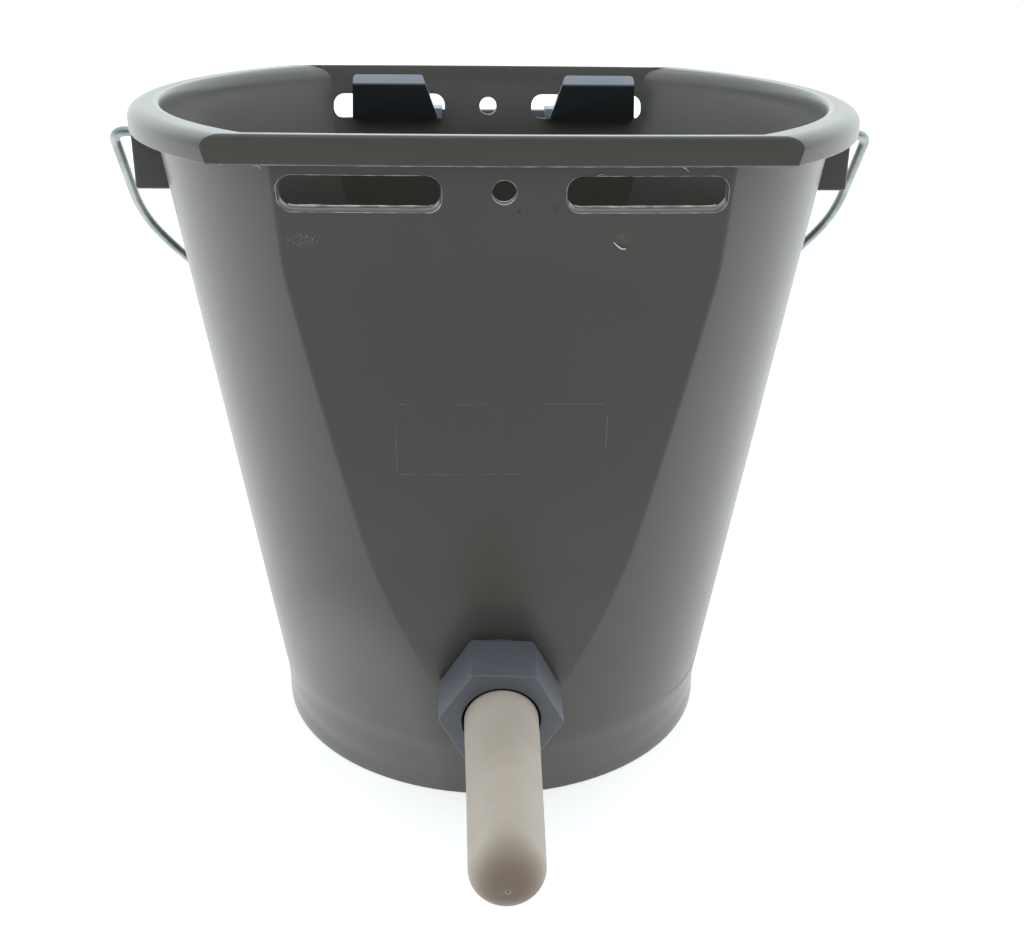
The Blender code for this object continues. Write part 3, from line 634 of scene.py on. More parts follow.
def makeLugs(plastic):
    low = lugs["low"]
    top = shell["height"] - rim["crestWall"] - 0.05
    shape = [(wallRadius(low) - lugs["sunk"], low), (lugs["reach"], low),
             (lugs["reach"], top - lugs["shoulder"] * 2), (lugs["reach"] - lugs["shoulder"], top),
             (wallRadius(top) - lugs["sunk"], top)]
    half = lugs["width"] / 2
    for side, name in ((-1, "lugLeft"), (1, "lugRight")):
        work = bmesh.new()
        addSlab(work, [(side * x, z) for x, z in shape], axisY - half, axisY + half)
        piece = addToBucket(name, work, plastic, 30.0)
        bevel = piece.modifiers.new("edges", "BEVEL")
        bevel.width = lugs["round"] * mm
        bevel.segments = 4
        place = Matrix.Translation((0, axisY, lugs["pivot"])) @ Matrix.Rotation(side * pi / 2, 4, "Y")
        bottom = lugs["reach"] - lugs["seat"] - lugs["bottom"]
        socket = rodCutter(lugs["socket"], bottom, lugs["reach"] + 4, place, 32)
        combine(piece, [socket], "DIFFERENCE")
        settle(piece, [socket], 35)
    print("lugs")


neck = {
    "radius": 19.2, "height": 0.8, "foot": -2.0, "edge": 0.3, "boreEdge": 0.2,
    "padRadius": 25.0, "padTop": -1.7, "padFoot": -5.2, "padEdge": 0.8, "padBoreEdge": 0.3,
}


def makeNeck(plastic):
    n = neck
    bore = slots["boreRadius"]
    profile = [(bore, n["foot"]), (bore, n["height"]), (n["radius"], n["height"]), (n["radius"], n["foot"])]
    turnPiece("spoutNeck", profile, [0, n["boreEdge"], n["edge"], 0], plastic)
    outer = n["padRadius"]
    profile = [(bore, n["padTop"]), (outer, n["padTop"]), (outer, n["padFoot"]), (bore, n["padFoot"])]
    turnPiece("spoutPad", profile, [0, 0, n["padEdge"], n["padBoreEdge"]], plastic)
    print("spout neck and pad")


# pale tubes: moulding flash round the slots and peep holes, also painting their edge highlights, and painted
# highlights along the sills and inside the peep holes' lower edges
slotFlashAndHighlight = {
    "radius": 0.17, "rag": (0.75, 0.8, 0.35), "peepRag": (0.7, 0.6, 0.5), "step": 1.5,
    "sillRadius": 0.50, "sillRag": (0.85, 0.35, 0.2), "peepFrom": 195.0, "peepTo": 345.0,
}


def flashAndHighlightPath(centreX, side):
    # the moulding line round a slot, on the face that it was moulded out of, whose pale tube is also a
    # painted edge highlight
    corners = [(centreX + u, slots["height"] + v) for u, v in slotOutline(1.0, 0.02, 10)]
    points = [wallPoint(x, z, side, 0.04) for x, z in corners]
    dense = []
    for first, second in zip(points, points[1:] + points[:1]):
        count = max(1, round((second - first).length / slotFlashAndHighlight["step"]))
        for k in range(count):
            between = first.lerp(second, k / count)
            dense.append(wallPoint(between.x, between.z, side, 0.04))
    return dense


def sillPath(centreX, side):
    # the inner edge of a slot's sill, from end to end, where a pale tube is a painted highlight
    half = slots["length"] / 2
    foot = slots["footRound"]
    points = []
    for k in range(61):
        u = (half - foot * 0.55) * (k / 30 - 1)
        rise = foot - sqrt(foot ** 2 - max(0.0, abs(u) - half + foot) ** 2)
        z = slots["height"] - slots["width"] / 2 + rise
        points.append(wallPoint(centreX + u, z, side, -shell["wall"] + 0.1) - Vector((0, 0, 0.1)))
    return points


def peepPath(side, grow, out, start, end):
    # an arc round the small hole between the slots
    radius = slots["peepRadius"] + grow
    angles = [radians(start + (end - start) * k / 48) for k in range(49)]
    return [wallPoint(radius * cos(a), slots["height"] + radius * sin(a), side, out) for a in angles]


def makeSlotFlashAndHighlights(flashAndHighlight):
    s = slotFlashAndHighlight
    thick = s["sillRadius"]
    for side, face in ((-1, "Front"), (1, "Back")):
        for half, hand in ((-1, "Left"), (1, "Right")):
            centreX = half * slots["spacing"] / 2
            work = bmesh.new()
            raggedTube(work, flashAndHighlightPath(centreX, side), s["radius"], s["rag"], 6, True)
            raggedTube(work, sillPath(centreX, side), thick, s["sillRag"], 8)
            addToBucket("slotFlashAndHighlight" + face + hand, work, flashAndHighlight)
        work = bmesh.new()
        path = peepPath(side, 0.03, 0.04, 0.0, 360.0)[:-1]
        raggedTube(work, path, s["radius"], s["peepRag"], 6, True)
        # a pale crescent inside the peep hole's lower edge: a painted highlight
        path = peepPath(side, 0.0, -shell["wall"] + 0.3, s["peepFrom"], s["peepTo"])
        sweepTube(work, path, [thick * (0.25 + 0.9 * sin(pi * k / 48)) for k in range(49)], 8)
        addToBucket("peepFlashAndHighlight" + face, work, flashAndHighlight)
    print("slot flash")


skirtLine = {
    "reach": 90.0, "depth": 0.26, "least": 0.12, "thick": 0.10, "sunk": 0.05, "root": 0.1, "steps": 240,
}


def makeSkirtFlashAndHighlight(flashAndHighlight):
    # a thin ragged line of flash along the lower edge of the skirt, over each panel, pale as a painted edge
    # highlight
    thick = skirtLine["thick"]
    root = skirtFoot + skirtLine["root"]
    distance = rim["panel"] + rim["skirtDraft"] - rim["skirtEdge"] - skirtLine["sunk"]
    for side, name in ((-1, "skirtFlashAndHighlightFront"), (1, "skirtFlashAndHighlightBack")):
        work = bmesh.new()
        rings = []
        for k in range(skirtLine["steps"] + 1):
            x = skirtLine["reach"] * (2 * k / skirtLine["steps"] - 1)
            y = distance + bowAt(x)
            ragged = 0.7 + 0.5 * noise.noise(Vector((x * 0.21, side * 7.0, 0.0)))
            ragged += 0.2 * noise.noise(Vector((x, 3, 9)))
            low = skirtFoot - skirtLine["depth"] * max(ragged, skirtLine["least"])
            corners = [(thick, root), (thick * 0.6, low), (-thick * 0.6, low), (-thick, root)]
            rings.append([Vector((x, axisY + side * (y + out), z)) for out, z in corners])
        loftRings(work, rings, True, True)
        addToBucket(name, work, flashAndHighlight)
    print("skirt flash")


crestLine = {"inset": 0.3, "radius": 0.16, "rag": (0.8, 0.5, 0.12), "sunk": 0.02}


def makeCrestLine(flashAndHighlight):
    # a pale moulding line where the lip meets the crest, also a painted highlight along the crest's inner
    # edge
    inset = rim["crestInset"] - crestLine["inset"]
    distance = rim["panel"] - rim["crestInsetPanel"] + crestLine["inset"]
    height = shell["height"] - crestLine["radius"] - crestLine["sunk"]
    path = [Vector((x, y + axisY, height)) for x, y in rimRing(height, inset, distance)[1]]
    work = bmesh.new()
    raggedTube(work, path, crestLine["radius"], crestLine["rag"], 6, True)
    addToBucket("crestLine", work, flashAndHighlight)
    print("crest line")


labelOutline = {
    "left": -37.3, "right": 37.2, "low": 144.8, "high": 172.0, "radius": 0.08,
    "step": 1.2, "clouds": 0.13, "gap": -0.05,
}


def makeLabelOutline(faint):
    # the worn outline of a blank label field, broken where it has rubbed away
    o = labelOutline
    corners = [(o["left"], o["low"]), (o["right"], o["low"]), (o["right"], o["high"]), (o["left"], o["high"])]
    work = bmesh.new()
    for (x0, z0), (x1, z1) in zip(corners, corners[1:] + corners[:1]):
        count = round(hypot(x1 - x0, z1 - z0) / o["step"])
        run = []
        for k in range(count + 1):
            x = x0 + (x1 - x0) * k / count
            z = z0 + (z1 - z0) * k / count
            there = noise.noise(Vector((x * o["clouds"], z * o["clouds"], 5.0)))
            if there > o["gap"] and k < count:
                run.append(wallPoint(x, z, -1, 0.02))
                continue
            if len(run) > 2:
                sweepTube(work, run, o["radius"], 5)
            run = []
    addToBucket("labelOutline", work, faint)
    print("label outline")


seams = {
    "radius": 0.13, "rimX": 54.5, "rimShare": 0.45,
    "footTurn": -32.0, "footReach": 12.0, "footHeight": 25.0, "footBow": 3.2, "footRise": 0.8,
}


def makeSeams(plastic, faint):
    # witness lines of the mould: one up the rim's front, one round the foot
    path = []
    for k in range(13):
        depth = 0.6 + (rim["skirtDepth"] - 0.8) * k / 12
        x = seams["rimX"] + 0.06 * k
        y = rim["panel"] + rim["skirtDraft"] - panelEdge(depth) + bowAt(x)
        path.append(Vector((x, axisY - y - 0.02, shell["height"] - depth)))
    tubeOnBucket("rimSeam", path, seams["radius"] * seams["rimShare"], 6, plastic)
    path = []
    radii = []
    for k in range(25):
        share = 2 * k / 24 - 1
        angle = radians(seams["footTurn"] + seams["footReach"] * share)
        z = seams["footHeight"] + seams["footBow"] * share * share + seams["footRise"] * share
        radius = hypot(*outerWallPoint(angle, z))
        path.append(Vector((radius * cos(angle), axisY + radius * sin(angle), z)))
        radii.append(seams["radius"] * (1 - 0.8 * abs(share)))
    tubeOnBucket("footSeam", path, radii, 6, faint)
    print("seams")


def hairPath(start, end, rise, steps=10):
    # a bowed line between two points
    start = Vector(start)
    end = Vector(end)
    return [start.lerp(end, k / steps) + Vector(rise) * sin(pi * k / steps) for k in range(steps + 1)]


hairs = {"radius": 0.14, "thinning": 0.08, "curlRadius": 0.30}


def makeHairs(flashAndHighlight, white):
    # trimmings of plastic that still cling to the edges
    low = skirtFoot - 0.15
    front = axisY - rim["panel"] - 0.7
    top = slots["height"] + slots["width"] / 2
    ends = [
        ((-79.0, front + 1.9, low), (-76.6, front + 1.2, low - 1.0), (0.3, -0.2, 0.2)),
        ((56.4, front + 0.9, low), (58.2, front + 0.3, low - 1.4), (0.5, -0.3, 0.0)),
        (wallPoint(29.6, top + 0.1, -1, 0.1), wallPoint(32.4, top + 0.7, -1, 0.9), (0.0, -0.3, 0.3)),
        (wallPoint(-72.2, top - 2.0, -1, 0.1), wallPoint(-73.6, top - 5.6, -1, 0.6), (-0.4, -0.2, 0.0)),
    ]
    work = bmesh.new()
    for start, end, rise in ends:
        radii = [hairs["radius"] * (1.1 - hairs["thinning"] * k) for k in range(11)]
        sweepTube(work, hairPath(start, end, rise), radii, 6)
    addToBucket("flashHairs", work, flashAndHighlight)
    path = hairPath(wallPoint(36.2, 230.2, -1, 0.25), wallPoint(40.4, 228.0, -1, 0.5), (0.4, -0.3, -0.9))
    radii = [hairs["curlRadius"] * (0.45 + 0.55 * sin(pi * (k + 1) / 12)) for k in range(11)]
    tubeOnBucket("plasticCurl", path, radii, 8, white)
    print("hairs and curl")


# Bail

bail = {
    "radius": 2.0, "reach": 150.4, "seat": 10.0, "bend": 5.0, "sideHeight": 36.5, "side": 80.0,
    "turn": 22.0, "restAngle": 40.2539,
}


def arcPoints(centre, radius, start, end, step=1.5):
    steps = max(1, round(abs(end - start) / step))
    angles = [radians(start + (end - start) * k / steps) for k in range(steps + 1)]
    return [(centre[0] + radius * cos(a), centre[1] + radius * sin(a)) for a in angles]


def bailPath():
    offset = bail["reach"] - bail["side"]
    turn = radians(bail["turn"])
    gripCentre = bail["sideHeight"] - offset * tan(turn)
    gripRadius = bail["side"] + offset / cos(turn)
    half = [(lugs["reach"] - bail["seat"], 0.0), (lugs["reach"] - 2, 0.0)]
    half += arcPoints((bail["reach"] - bail["bend"], bail["bend"]), bail["bend"], -90.0, 0.0, 6.0)
    half += arcPoints((offset, bail["sideHeight"]), bail["side"], 0.0, bail["turn"])
    half += arcPoints((0.0, gripCentre), gripRadius, bail["turn"], 90.0)[1:]
    return half + [(-x, s) for x, s in reversed(half[:-1])]


def makeBail(zinc):
    turn = Matrix.Rotation(pi + radians(bail["restAngle"]), 4, "X")
    place = Matrix.Translation((0, axisY, lugs["pivot"])) @ turn
    path = [place @ Vector((x, 0.0, up)) for x, up in bailPath()]
    work = bmesh.new()
    sweepTube(work, path, bail["radius"], 28)
    addPiece("bailWire", work, zinc, "bail", 50, "bail_handle")
    print("bail")


# Hanging bracket

bracket = {
    "shift": 2.6, "edge": 0.75, "past": 4,
    "armInner": 26.2, "armWidth": 40.0, "armLedge": 1.8, "armFoot": 241.75, "armTop": 246.35,
    "plateTop": 244.55, "plateDrop": 38.0, "plateFront": 108.0849, "plateBack": 113.5,
    "plateRound": 5.0, "plateTopRound": 1.5, "shoulderDepth": 2.0, "shoulderReach": 3.0,
    "tongueBack": 101.3906, "tongueThick": 5.2, "tongueHeight": 19.6, "tongueSlant": 7.2,
    "tongueChamfer": 4.2, "tongueFlat": 1.0, "tongueRound": 1.7, "tongueFoot": 1.0, "tongueLean": 0.7,
    "screwRadius": 2.6, "screwHead": 5.2, "screwSpacing": 84.0, "screwRise": 2.0,
}


def makeBracket(plastic):
    b = bracket
    half = b["armInner"] + b["armWidth"]
    front = b["tongueBack"] - b["tongueThick"]
    foot = b["armFoot"]
    top = foot + b["tongueHeight"]
    low = b["plateTop"] - b["plateDrop"]
    place = Matrix.Translation((b["shift"], axisY, 0))
    corners = [(-half, low), (half, low), (half, b["plateTop"]), (-half, b["plateTop"])]
    outline = roundOff(corners, [b["plateRound"]] * 2 + [b["plateTopRound"]] * 2, 8)
    work = bmesh.new()
    addSlab(work, outline, b["plateFront"], b["plateBack"], place)
    piece = addPiece("bracketMoulding", work, plastic, "bracket", 30.0, "hanging_bracket")
    joined = []
    cutters = []
    past = b["past"]
    armBack = b["plateFront"] + b["shoulderReach"]
    ledge = b["tongueBack"] - b["tongueFlat"]
    steep = b["tongueChamfer"] / (ledge - front)
    slope = [(front - past, top - b["tongueChamfer"] - steep * past), (ledge, top),
             (ledge, top + past), (front - past, top + past)]
    screwZ = low + b["plateDrop"] / 2 + b["screwRise"]
    sinkFoot = b["plateFront"] + b["screwHead"] - b["screwRadius"]
    drillSteps = [(b["screwHead"] + past, b["plateFront"] - past), (b["screwRadius"], sinkFoot),
                  (b["screwRadius"], b["plateBack"] + past)]
    for side in (-1, 1):
        near, far = sorted((side * (b["armInner"] - b["armLedge"]), side * half))
        for name, start, bottom in (("arm", b["tongueBack"] - b["tongueThick"] / 2, foot),
                                    ("shoulder", b["plateFront"], foot - b["shoulderDepth"])):
            work = bmesh.new()
            addBlock(work, (near, start, bottom), (far, armBack, b["armTop"]))
            joined.append(looseSolid(name, work, place))
        shape = [(side * b["armInner"], foot), (side * half, foot), (side * (half - b["tongueLean"]), top),
                 (side * (b["armInner"] + b["tongueSlant"]), top)]
        if side < 0:
            shape.reverse()
        outline = roundOff(shape, [b["tongueFoot"] if z == foot else b["tongueRound"] for _, z in shape], 8)
        work = bmesh.new()
        addSlab(work, outline, front, b["tongueBack"])
        joined.append(looseSolid("tongue", work, place))
        ends = sorted((side * (b["armInner"] - past), side * (half + past)))
        work = bmesh.new()
        addPrism(work, *([Vector((x, y, z)) for y, z in slope] for x in ends))
        cutters.append(looseSolid("slope", work, place))
        screwAt = Matrix.Translation((side * b["screwSpacing"] / 2, 0, screwZ))
        drill = place @ screwAt @ Matrix.Rotation(-pi / 2, 4, "X")
        work = bmesh.new()
        loftRings(work, turnRings(drillSteps, drill, 48), True, True)
        cutters.append(looseSolid("screwHole", work))
    combine(piece, joined, "UNION")
    combine(piece, cutters, "DIFFERENCE")
    bevel = piece.modifiers.new("edges", "BEVEL")
    bevel.width = b["edge"] * mm
    bevel.segments = 4
    bevel.limit_method = "ANGLE"
    bevel.angle_limit = radians(38)
    settle(piece, joined + cutters, 40)
    print("hanging bracket:", len(piece.data.polygons), "faces")


# Spout

nut = {
    "back": 1.1, "front": 24.0, "acrossFlats": 41.0, "corner": 1.6, "leastCorner": 0.5, "edge": 0.8,
    "bore": 14.7, "boreEdge": 0.35, "cavity": 17.1, "cavityEdge": 0.5, "lip": 4.0, "turn": -2.5,
}


def hexRing(height, inset, place):
    # a rounded hexagon with evenly shared points, so that it lofts to a circle
    flat = nut["acrossFlats"] / 2 - inset
    corner = max(nut["corner"] - inset * 0.3, nut["leastCorner"])
    cornerAt = (flat - corner) / cos(pi / 6)
    cornerHalf = pi / 6 - atan2((flat - corner) * tan(pi / 6), flat)
    ring = []
    for k in range(6):
        angles = [-cornerHalf + 2 * cornerHalf * i / 10 for i in range(11)]
        angles += [cornerHalf + (pi / 3 - 2 * cornerHalf) * i / 10 for i in range(1, 10)]
        for angle in angles:
            if abs(angle) <= cornerHalf + 1e-9:
                radius = cornerAt * cos(angle) + sqrt(max(corner ** 2 - (cornerAt * sin(angle)) ** 2, 0.0))
            else:
                radius = flat / cos(angle - pi / 6)
            around = angle + k * pi / 3
            ring.append(place @ Vector((radius * cos(around), radius * sin(around), height)))
    return ring


def circleRing(radius, height, place):
    ring = []
    for point in hexRing(0.0, 0.0, Matrix()):
        share = radius / hypot(point.x, point.y)
        ring.append(place @ Vector((point.x * share, point.y * share, height)))
    return ring


def makeNut(plastic):
    place = spoutPlace @ Matrix.Rotation(radians(nut["turn"]), 4, "Z")
    edge = nut["edge"]
    small = nut["boreEdge"]
    lip = nut["front"] - nut["lip"]
    wide = nut["cavity"] + nut["cavityEdge"]
    rings = [hexRing(nut["back"] + edge * up, edge * inset, place) for up, inset in quarterRound(6)[::-1]]
    rings += [hexRing(nut["front"] - edge * down, edge * inset, place) for down, inset in quarterRound(6)]
    circles = [(nut["bore"] + small * out, nut["front"] - small * down) for out, down in quarterRound(4)]
    circles += [(nut["bore"], lip), (nut["cavity"], lip), (nut["cavity"], nut["back"] + nut["cavityEdge"]),
                (wide, nut["back"])]
    rings += [circleRing(radius, height, place) for radius, height in circles]
    work = bmesh.new()
    closeLoft(work, rings)
    addPiece("unionNut", work, plastic, "nut", 35, "teat_nut")
    print("union nut")


teat = {
    "length": 108.2, "root": 13.8, "end": 12.7, "tip": 10.5, "wall": 2.6, "swell": 0.06, "waves": 9.0,
    "face": 19.7, "flange": 3.2, "flangeRadius": 16.8, "flangeEdge": 0.5,
    "hole": 0.35, "holeDepth": 0.9, "dimple": 2.6, "dimpleDepth": 0.35,
    "bead": 0.22, "beadRadius": 0.85, "beadWidth": 0.28, "drift": -0.8, "steps": 112,
}


def teatDrift(height):
    share = max(0.0, (height - nut["front"]) / (teat["length"] - nut["front"]))
    return teat["drift"] * share ** 1.5


def makeTeat(rubber):
    t = teat
    tipStart = t["length"] - t["tip"]
    profile = [(t["hole"], t["length"] - t["dimpleDepth"] - t["holeDepth"])]
    radii = [t["hole"] + 0.1 * k for k in range(14)] + [t["end"] * sin(pi / 2 * k / 24) for k in range(4, 25)]
    for radius in radii:
        dent = t["dimpleDepth"] * exp(-(radius / t["dimple"]) ** 2)
        dent -= t["bead"] * exp(-((radius - t["beadRadius"]) / t["beadWidth"]) ** 2)
        profile.append((radius, tipStart + t["tip"] * sqrt(max(1 - (radius / t["end"]) ** 2, 0.0)) - dent))
    for k in range(1, 41):
        share = k / 40
        swell = t["swell"] * sin(share * t["waves"]) * share
        height = tipStart + (nut["front"] - tipStart) * share
        profile.append((t["end"] + (t["root"] - t["end"]) * share + swell, height))
    face = t["face"]
    foot = face - t["flange"]
    edge = t["flangeEdge"]
    outer = t["flangeRadius"]
    profile += [(t["root"], face + 0.6), (t["root"] + 0.25, face + 0.15), (t["root"] + 0.6, face),
                (outer - edge, face), (outer, face - edge), (outer, foot + edge), (outer - edge, foot)]
    boreRoot = t["root"] - t["wall"]
    boreEnd = t["end"] - t["wall"]
    profile += [(boreRoot + edge, foot), (boreRoot, foot + edge), (boreRoot, nut["front"])]
    for k in range(12, 0, -1):
        angle = pi / 2 * k / 12
        profile.append((boreEnd * sin(angle), tipStart + (t["tip"] - t["wall"]) * cos(angle)))
    profile.append((t["hole"], tipStart + t["tip"] - t["wall"]))
    work = bmesh.new()
    closeLoft(work, turnRings(profile, spoutPlace, t["steps"], teatDrift))
    addPiece("teatRubber", work, rubber, "teat", 50, "teat")
    print("teat")


valve = {
    "spigotRadius": 16.8, "spigotBore": 9.5, "inlet": 4.6, "front": 16.2, "edge": 0.7,
    "flangeRadius": 24.0, "flangeFront": -7.8, "flangeBack": -11.2, "seatDepth": -4.6752, "seatTop": 0.2248,
    "ribWidth": 1.6, "ribTop": 10.6, "ribFoot": 0.4, "wayTop": 14.6, "wayPlay": 0.3,
    "threadFrom": 2.6, "threadTo": 14.4, "pitch": 3.0, "threadDepth": 0.9, "threadSteps": 72, "threadRun": 30,
    "threadFoot": 1.1, "threadCrest": 0.35,
    "gasketFront": -5.5, "gasketBack": -7.5, "gasketRadius": 23.0,
    "cageFront": 15.9, "cageLength": 5.0, "cageOuter": 9.2, "cageRing": 1.8, "cageBar": 2.2,
    "ballRadius": 6.4, "ballRest": 4.2,
}


def makeSpigot(plastic):
    v = valve
    edge = v["edge"]
    bore = v["spigotBore"]
    outer = v["spigotRadius"] - v["threadDepth"]
    profile = [(bore, v["front"]), (outer, v["front"]), (outer, v["flangeFront"]),
               (v["flangeRadius"], v["flangeFront"]), (v["flangeRadius"], v["flangeBack"]),
               (v["inlet"], v["flangeBack"]), (v["inlet"], v["seatDepth"]), (bore, v["seatTop"])]
    radii = [0.4, edge, 0.2, edge, edge, 1.5, 0.3, 0.3]
    piece = turnPiece("spigotMoulding", profile, radii, plastic, "valve_spigot", arc=5)
    ribFoot = v["seatTop"] - v["ribFoot"]
    ribs = crossedBars("rib", bore + v["ribFoot"], v["ribWidth"] / 2, ribFoot, v["ribTop"], pi / 4)
    way = rodCutter(v["ballRadius"] + v["wayPlay"], ribFoot, v["wayTop"], spoutPlace)
    combine(piece, ribs, "UNION")
    combine(piece, [way], "DIFFERENCE")
    settle(piece, ribs + [way], 35)
    # the thread, run out at both ends
    length = v["threadTo"] - v["threadFrom"]
    turns = length / v["pitch"]
    count = round(turns * v["threadSteps"])
    rings = []
    for k in range(count + 1):
        angle = 2 * pi * turns * k / count
        height = v["threadFrom"] + length * k / count
        rise = min(1.0, k / v["threadRun"], (count - k) / v["threadRun"])
        crest = outer - 0.3 + (v["threadDepth"] + 0.3) * rise
        corners = [(outer - 0.4, -v["threadFoot"]), (crest, -v["threadCrest"]),
                   (crest, v["threadCrest"]), (outer - 0.4, v["threadFoot"])]
        rings.append([spoutPlace @ Vector((radius * cos(angle), radius * sin(angle), height + up))
                      for radius, up in corners])
    work = bmesh.new()
    loftRings(work, rings, True, True)
    addPiece("spigotThread", work, plastic, "bucket", 40)
    print("spigot and thread")


def makeGasket(rubber):
    v = valve
    bore = slots["boreRadius"]
    profile = [(bore, v["gasketFront"]), (v["gasketRadius"], v["gasketFront"]),
               (v["gasketRadius"], v["gasketBack"]), (bore, v["gasketBack"])]
    radii = [0.3, 0.5, 0.5, 0.3]
    turnPiece("gasketRing", profile, radii, rubber, "spigot_gasket", sharp=40)
    print("gasket")


def makeCage(plastic):
    v = valve
    inner = v["cageOuter"] - v["cageRing"]
    low = v["cageFront"] - v["cageLength"]
    profile = [(inner, v["cageFront"]), (v["cageOuter"], v["cageFront"]), (v["cageOuter"], low), (inner, low)]
    piece = turnPiece("valveCage", profile, [0.3] * 4, plastic, "valve_cage", 72)
    reach = inner + v["cageRing"] / 2
    bars = crossedBars("bar", reach, v["cageBar"] / 2, low + 0.02, low + v["cageBar"])
    combine(piece, bars, "UNION")
    settle(piece, bars, 35)
    print("valve cage")


def makeBall(plastic):
    v = valve
    angles = [pi * k / 36 for k in range(1, 36)]
    profile = [(v["ballRadius"] * sin(a), v["ballRest"] + v["ballRadius"] * cos(a)) for a in angles]
    work = bmesh.new()
    loftRings(work, turnRings(profile, spoutPlace, 64), True, True)
    addPiece("valveBall", work, plastic, "ball", replaces="valve_ball")
    print("valve ball")


# Finishes

bucketLook = {
    "dark": (0.076, 0.071, 0.062), "light": (0.087, 0.081, 0.070), "clouds": (7.0, 3.0, 0.3, 0.7),
    "rough": (0.28, 0.05, 40.0, 2.0), "markRough": 0.15,
    "grain": [(1500.0, 2.0, 0.6)], "streaks": (26.0, 3.0, (1, 1, 0.12)), "streak": 0.5,
    "depth": 0.02, "strength": 0.25,
    # painted light: a paler tone on the inner wall near the top and on its round ends, on the outer foot, and
    # in a spot low on the front
    "paintedLightTone": (0.170, 0.164, 0.150), "paleTop": (222.0, 256.0),
    "paleEnds": (62.0, 78.0), "paleEndsTop": (205.0, 235.0), "paleEndsShare": 0.6,
    "footLightBelow": 30.0, "footLightSoft": 14.0, "footLightShare": 0.6, "footLightSpot": (-58.0, 18.0, 42.0, 80.0), "paintedFootLight": 0.8,
}
# the wall's inner face as lines over the height, each a slope and a start
insideRound = [(0.1494, 90.6), (0.0, 92.2)]
insideFlat = [(0.00909, 94.85), (0.0509, 90.25), (0.1556, 67.22)]
# each kind of mark: its colour, its share, and its spots of x, z and reach, with the noise that breaks them
bucketMarks = {
    "scuff": ((0.36, 0.36, 0.34), 0.8, [((-65.6, 230.6, 7.5, 2.6), (2300.0, 2.0), (0.60, 0.63)),
                                        ((-62.0, 224.0, 11.0, 13.0), (1300.0, 1.0), (0.79, 0.81))]),
    "star": ((0.03, 0.03, 0.028), 0.5, [((-11.5, 246.5, 7.0, 5.5), (420.0, 3.0, (1, 1, 1.6)), (0.62, 0.66))]),
    "dot": ((0.03, 0.03, 0.028), 0.7, [((4.8, 240.8, 0.9, 0.9),), ((16.5, 241.8, 0.8, 0.8),),
                                       ((115.6, 253.9, 0.6, 0.9),)]),
    "smudge": ((0.16, 0.10, 0.07), 0.75, [((39.6, 231.6, 4.4, 2.2), (900.0, 2.0), (0.38, 0.6))]),
}


def highest(z, lines):
    reach = 0.0
    for slope, start in lines:
        reach = (z * slope + start).most(reach)
    return reach


def bucketPlastic():
    f = Finish("bucketPlastic")
    x, y, z = f.axes()
    look = bucketLook
    away = y - axisY
    around = f.math("SQRT", x * x + away * away)
    flat = highest(z, insideFlat) - x * x * (0.5 / shell["panelBow"])
    inside = 1.0 - f.step(around - highest(z, insideRound), -0.3, 0.3)
    inside = inside * (1.0 - f.step(abs(away) - flat, -0.3, 0.3))
    front = (1.0 - f.step(y, axisY - 20.0, axisY - 10.0)) * (1.0 - inside)
    # painted light: the inner wall is paler near the top and at its round ends, and the outer foot is paler
    # low down and in a spot low on the front's left
    ends = f.step(abs(x), *look["paleEnds"]) * f.step(z, *look["paleEndsTop"]) * look["paleEndsShare"]
    paintedFootLight = f.step(look["footLightBelow"] - z, 0.0, look["footLightSoft"]) * look["footLightShare"]
    paintedFootLight = paintedFootLight + f.spot(x, z, *look["footLightSpot"]) * front * look["paintedFootLight"]
    paintedLight = inside * (f.step(z, *look["paleTop"]) + ends) + paintedFootLight * (1.0 - inside)
    tone = f.mix(paintedLight.least(1.0), f.mottle(look), look["paintedLightTone"])
    masks = {}
    for name, (colour, share, spots) in bucketMarks.items():
        masks[name] = f.marks(x, z, spots) * front
        tone = f.mix(masks[name] * share, tone, colour)
    rough = f.rough(look) + look["markRough"] * masks["scuff"].most(masks["smudge"])
    normal = f.grain(look, f.noise(*look["streaks"]) * look["streak"])
    return f.surface({"Base Color": tone, "Roughness": rough, "Normal": normal, "IOR": 1.5})


flashGrain = {
    "clouds": (180.0, 2.0, 0.35, 0.65), "rough": (0.4,), "grain": [(900.0, 2.0, 1.0)],
    "depth": 0.05, "strength": 0.5,
}
# pale flash; the same tone also paints highlight lines along the slots, sills, peep holes, skirt edge and
# crest
flashAndHighlightLook = {"dark": (0.30, 0.31, 0.30), "light": (0.62, 0.63, 0.61), **flashGrain}
faintLook = {"dark": (0.17, 0.17, 0.16), "light": (0.26, 0.26, 0.25), **flashGrain}
trimmingLook = {"dark": (0.62, 0.61, 0.60), "light": (0.80, 0.79, 0.78), **flashGrain}
nutLook = {
    "dark": (0.108, 0.112, 0.131), "light": (0.125, 0.130, 0.151), "clouds": (35.0, 3.0, 0.3, 0.7),
    "speck": (0.30, 0.32, 0.35), "specks": (800.0, 1.0, 0.72, 0.75, 0.4), "rough": (0.40, 0.14, 150.0, 3.0),
    "grain": [(420.0, 3.0, 0.6), (90.0, 2.0, 0.4)], "depth": 0.06, "strength": 0.4,
}
gasketLook = {
    "dark": (0.022, 0.022, 0.024), "light": (0.045, 0.045, 0.046), "clouds": (120.0, 3.0),
    "rough": (0.6,), "grain": [(600.0, 3.0, 1.0)], "depth": 0.05, "strength": 0.5,
}
ballLook = {
    "dark": (0.72, 0.71, 0.68), "light": (0.82, 0.81, 0.78), "clouds": (90.0, 3.0),
    "rough": (0.35,), "grain": [(500.0, 2.0, 1.0)], "depth": 0.04, "strength": 0.3,
}


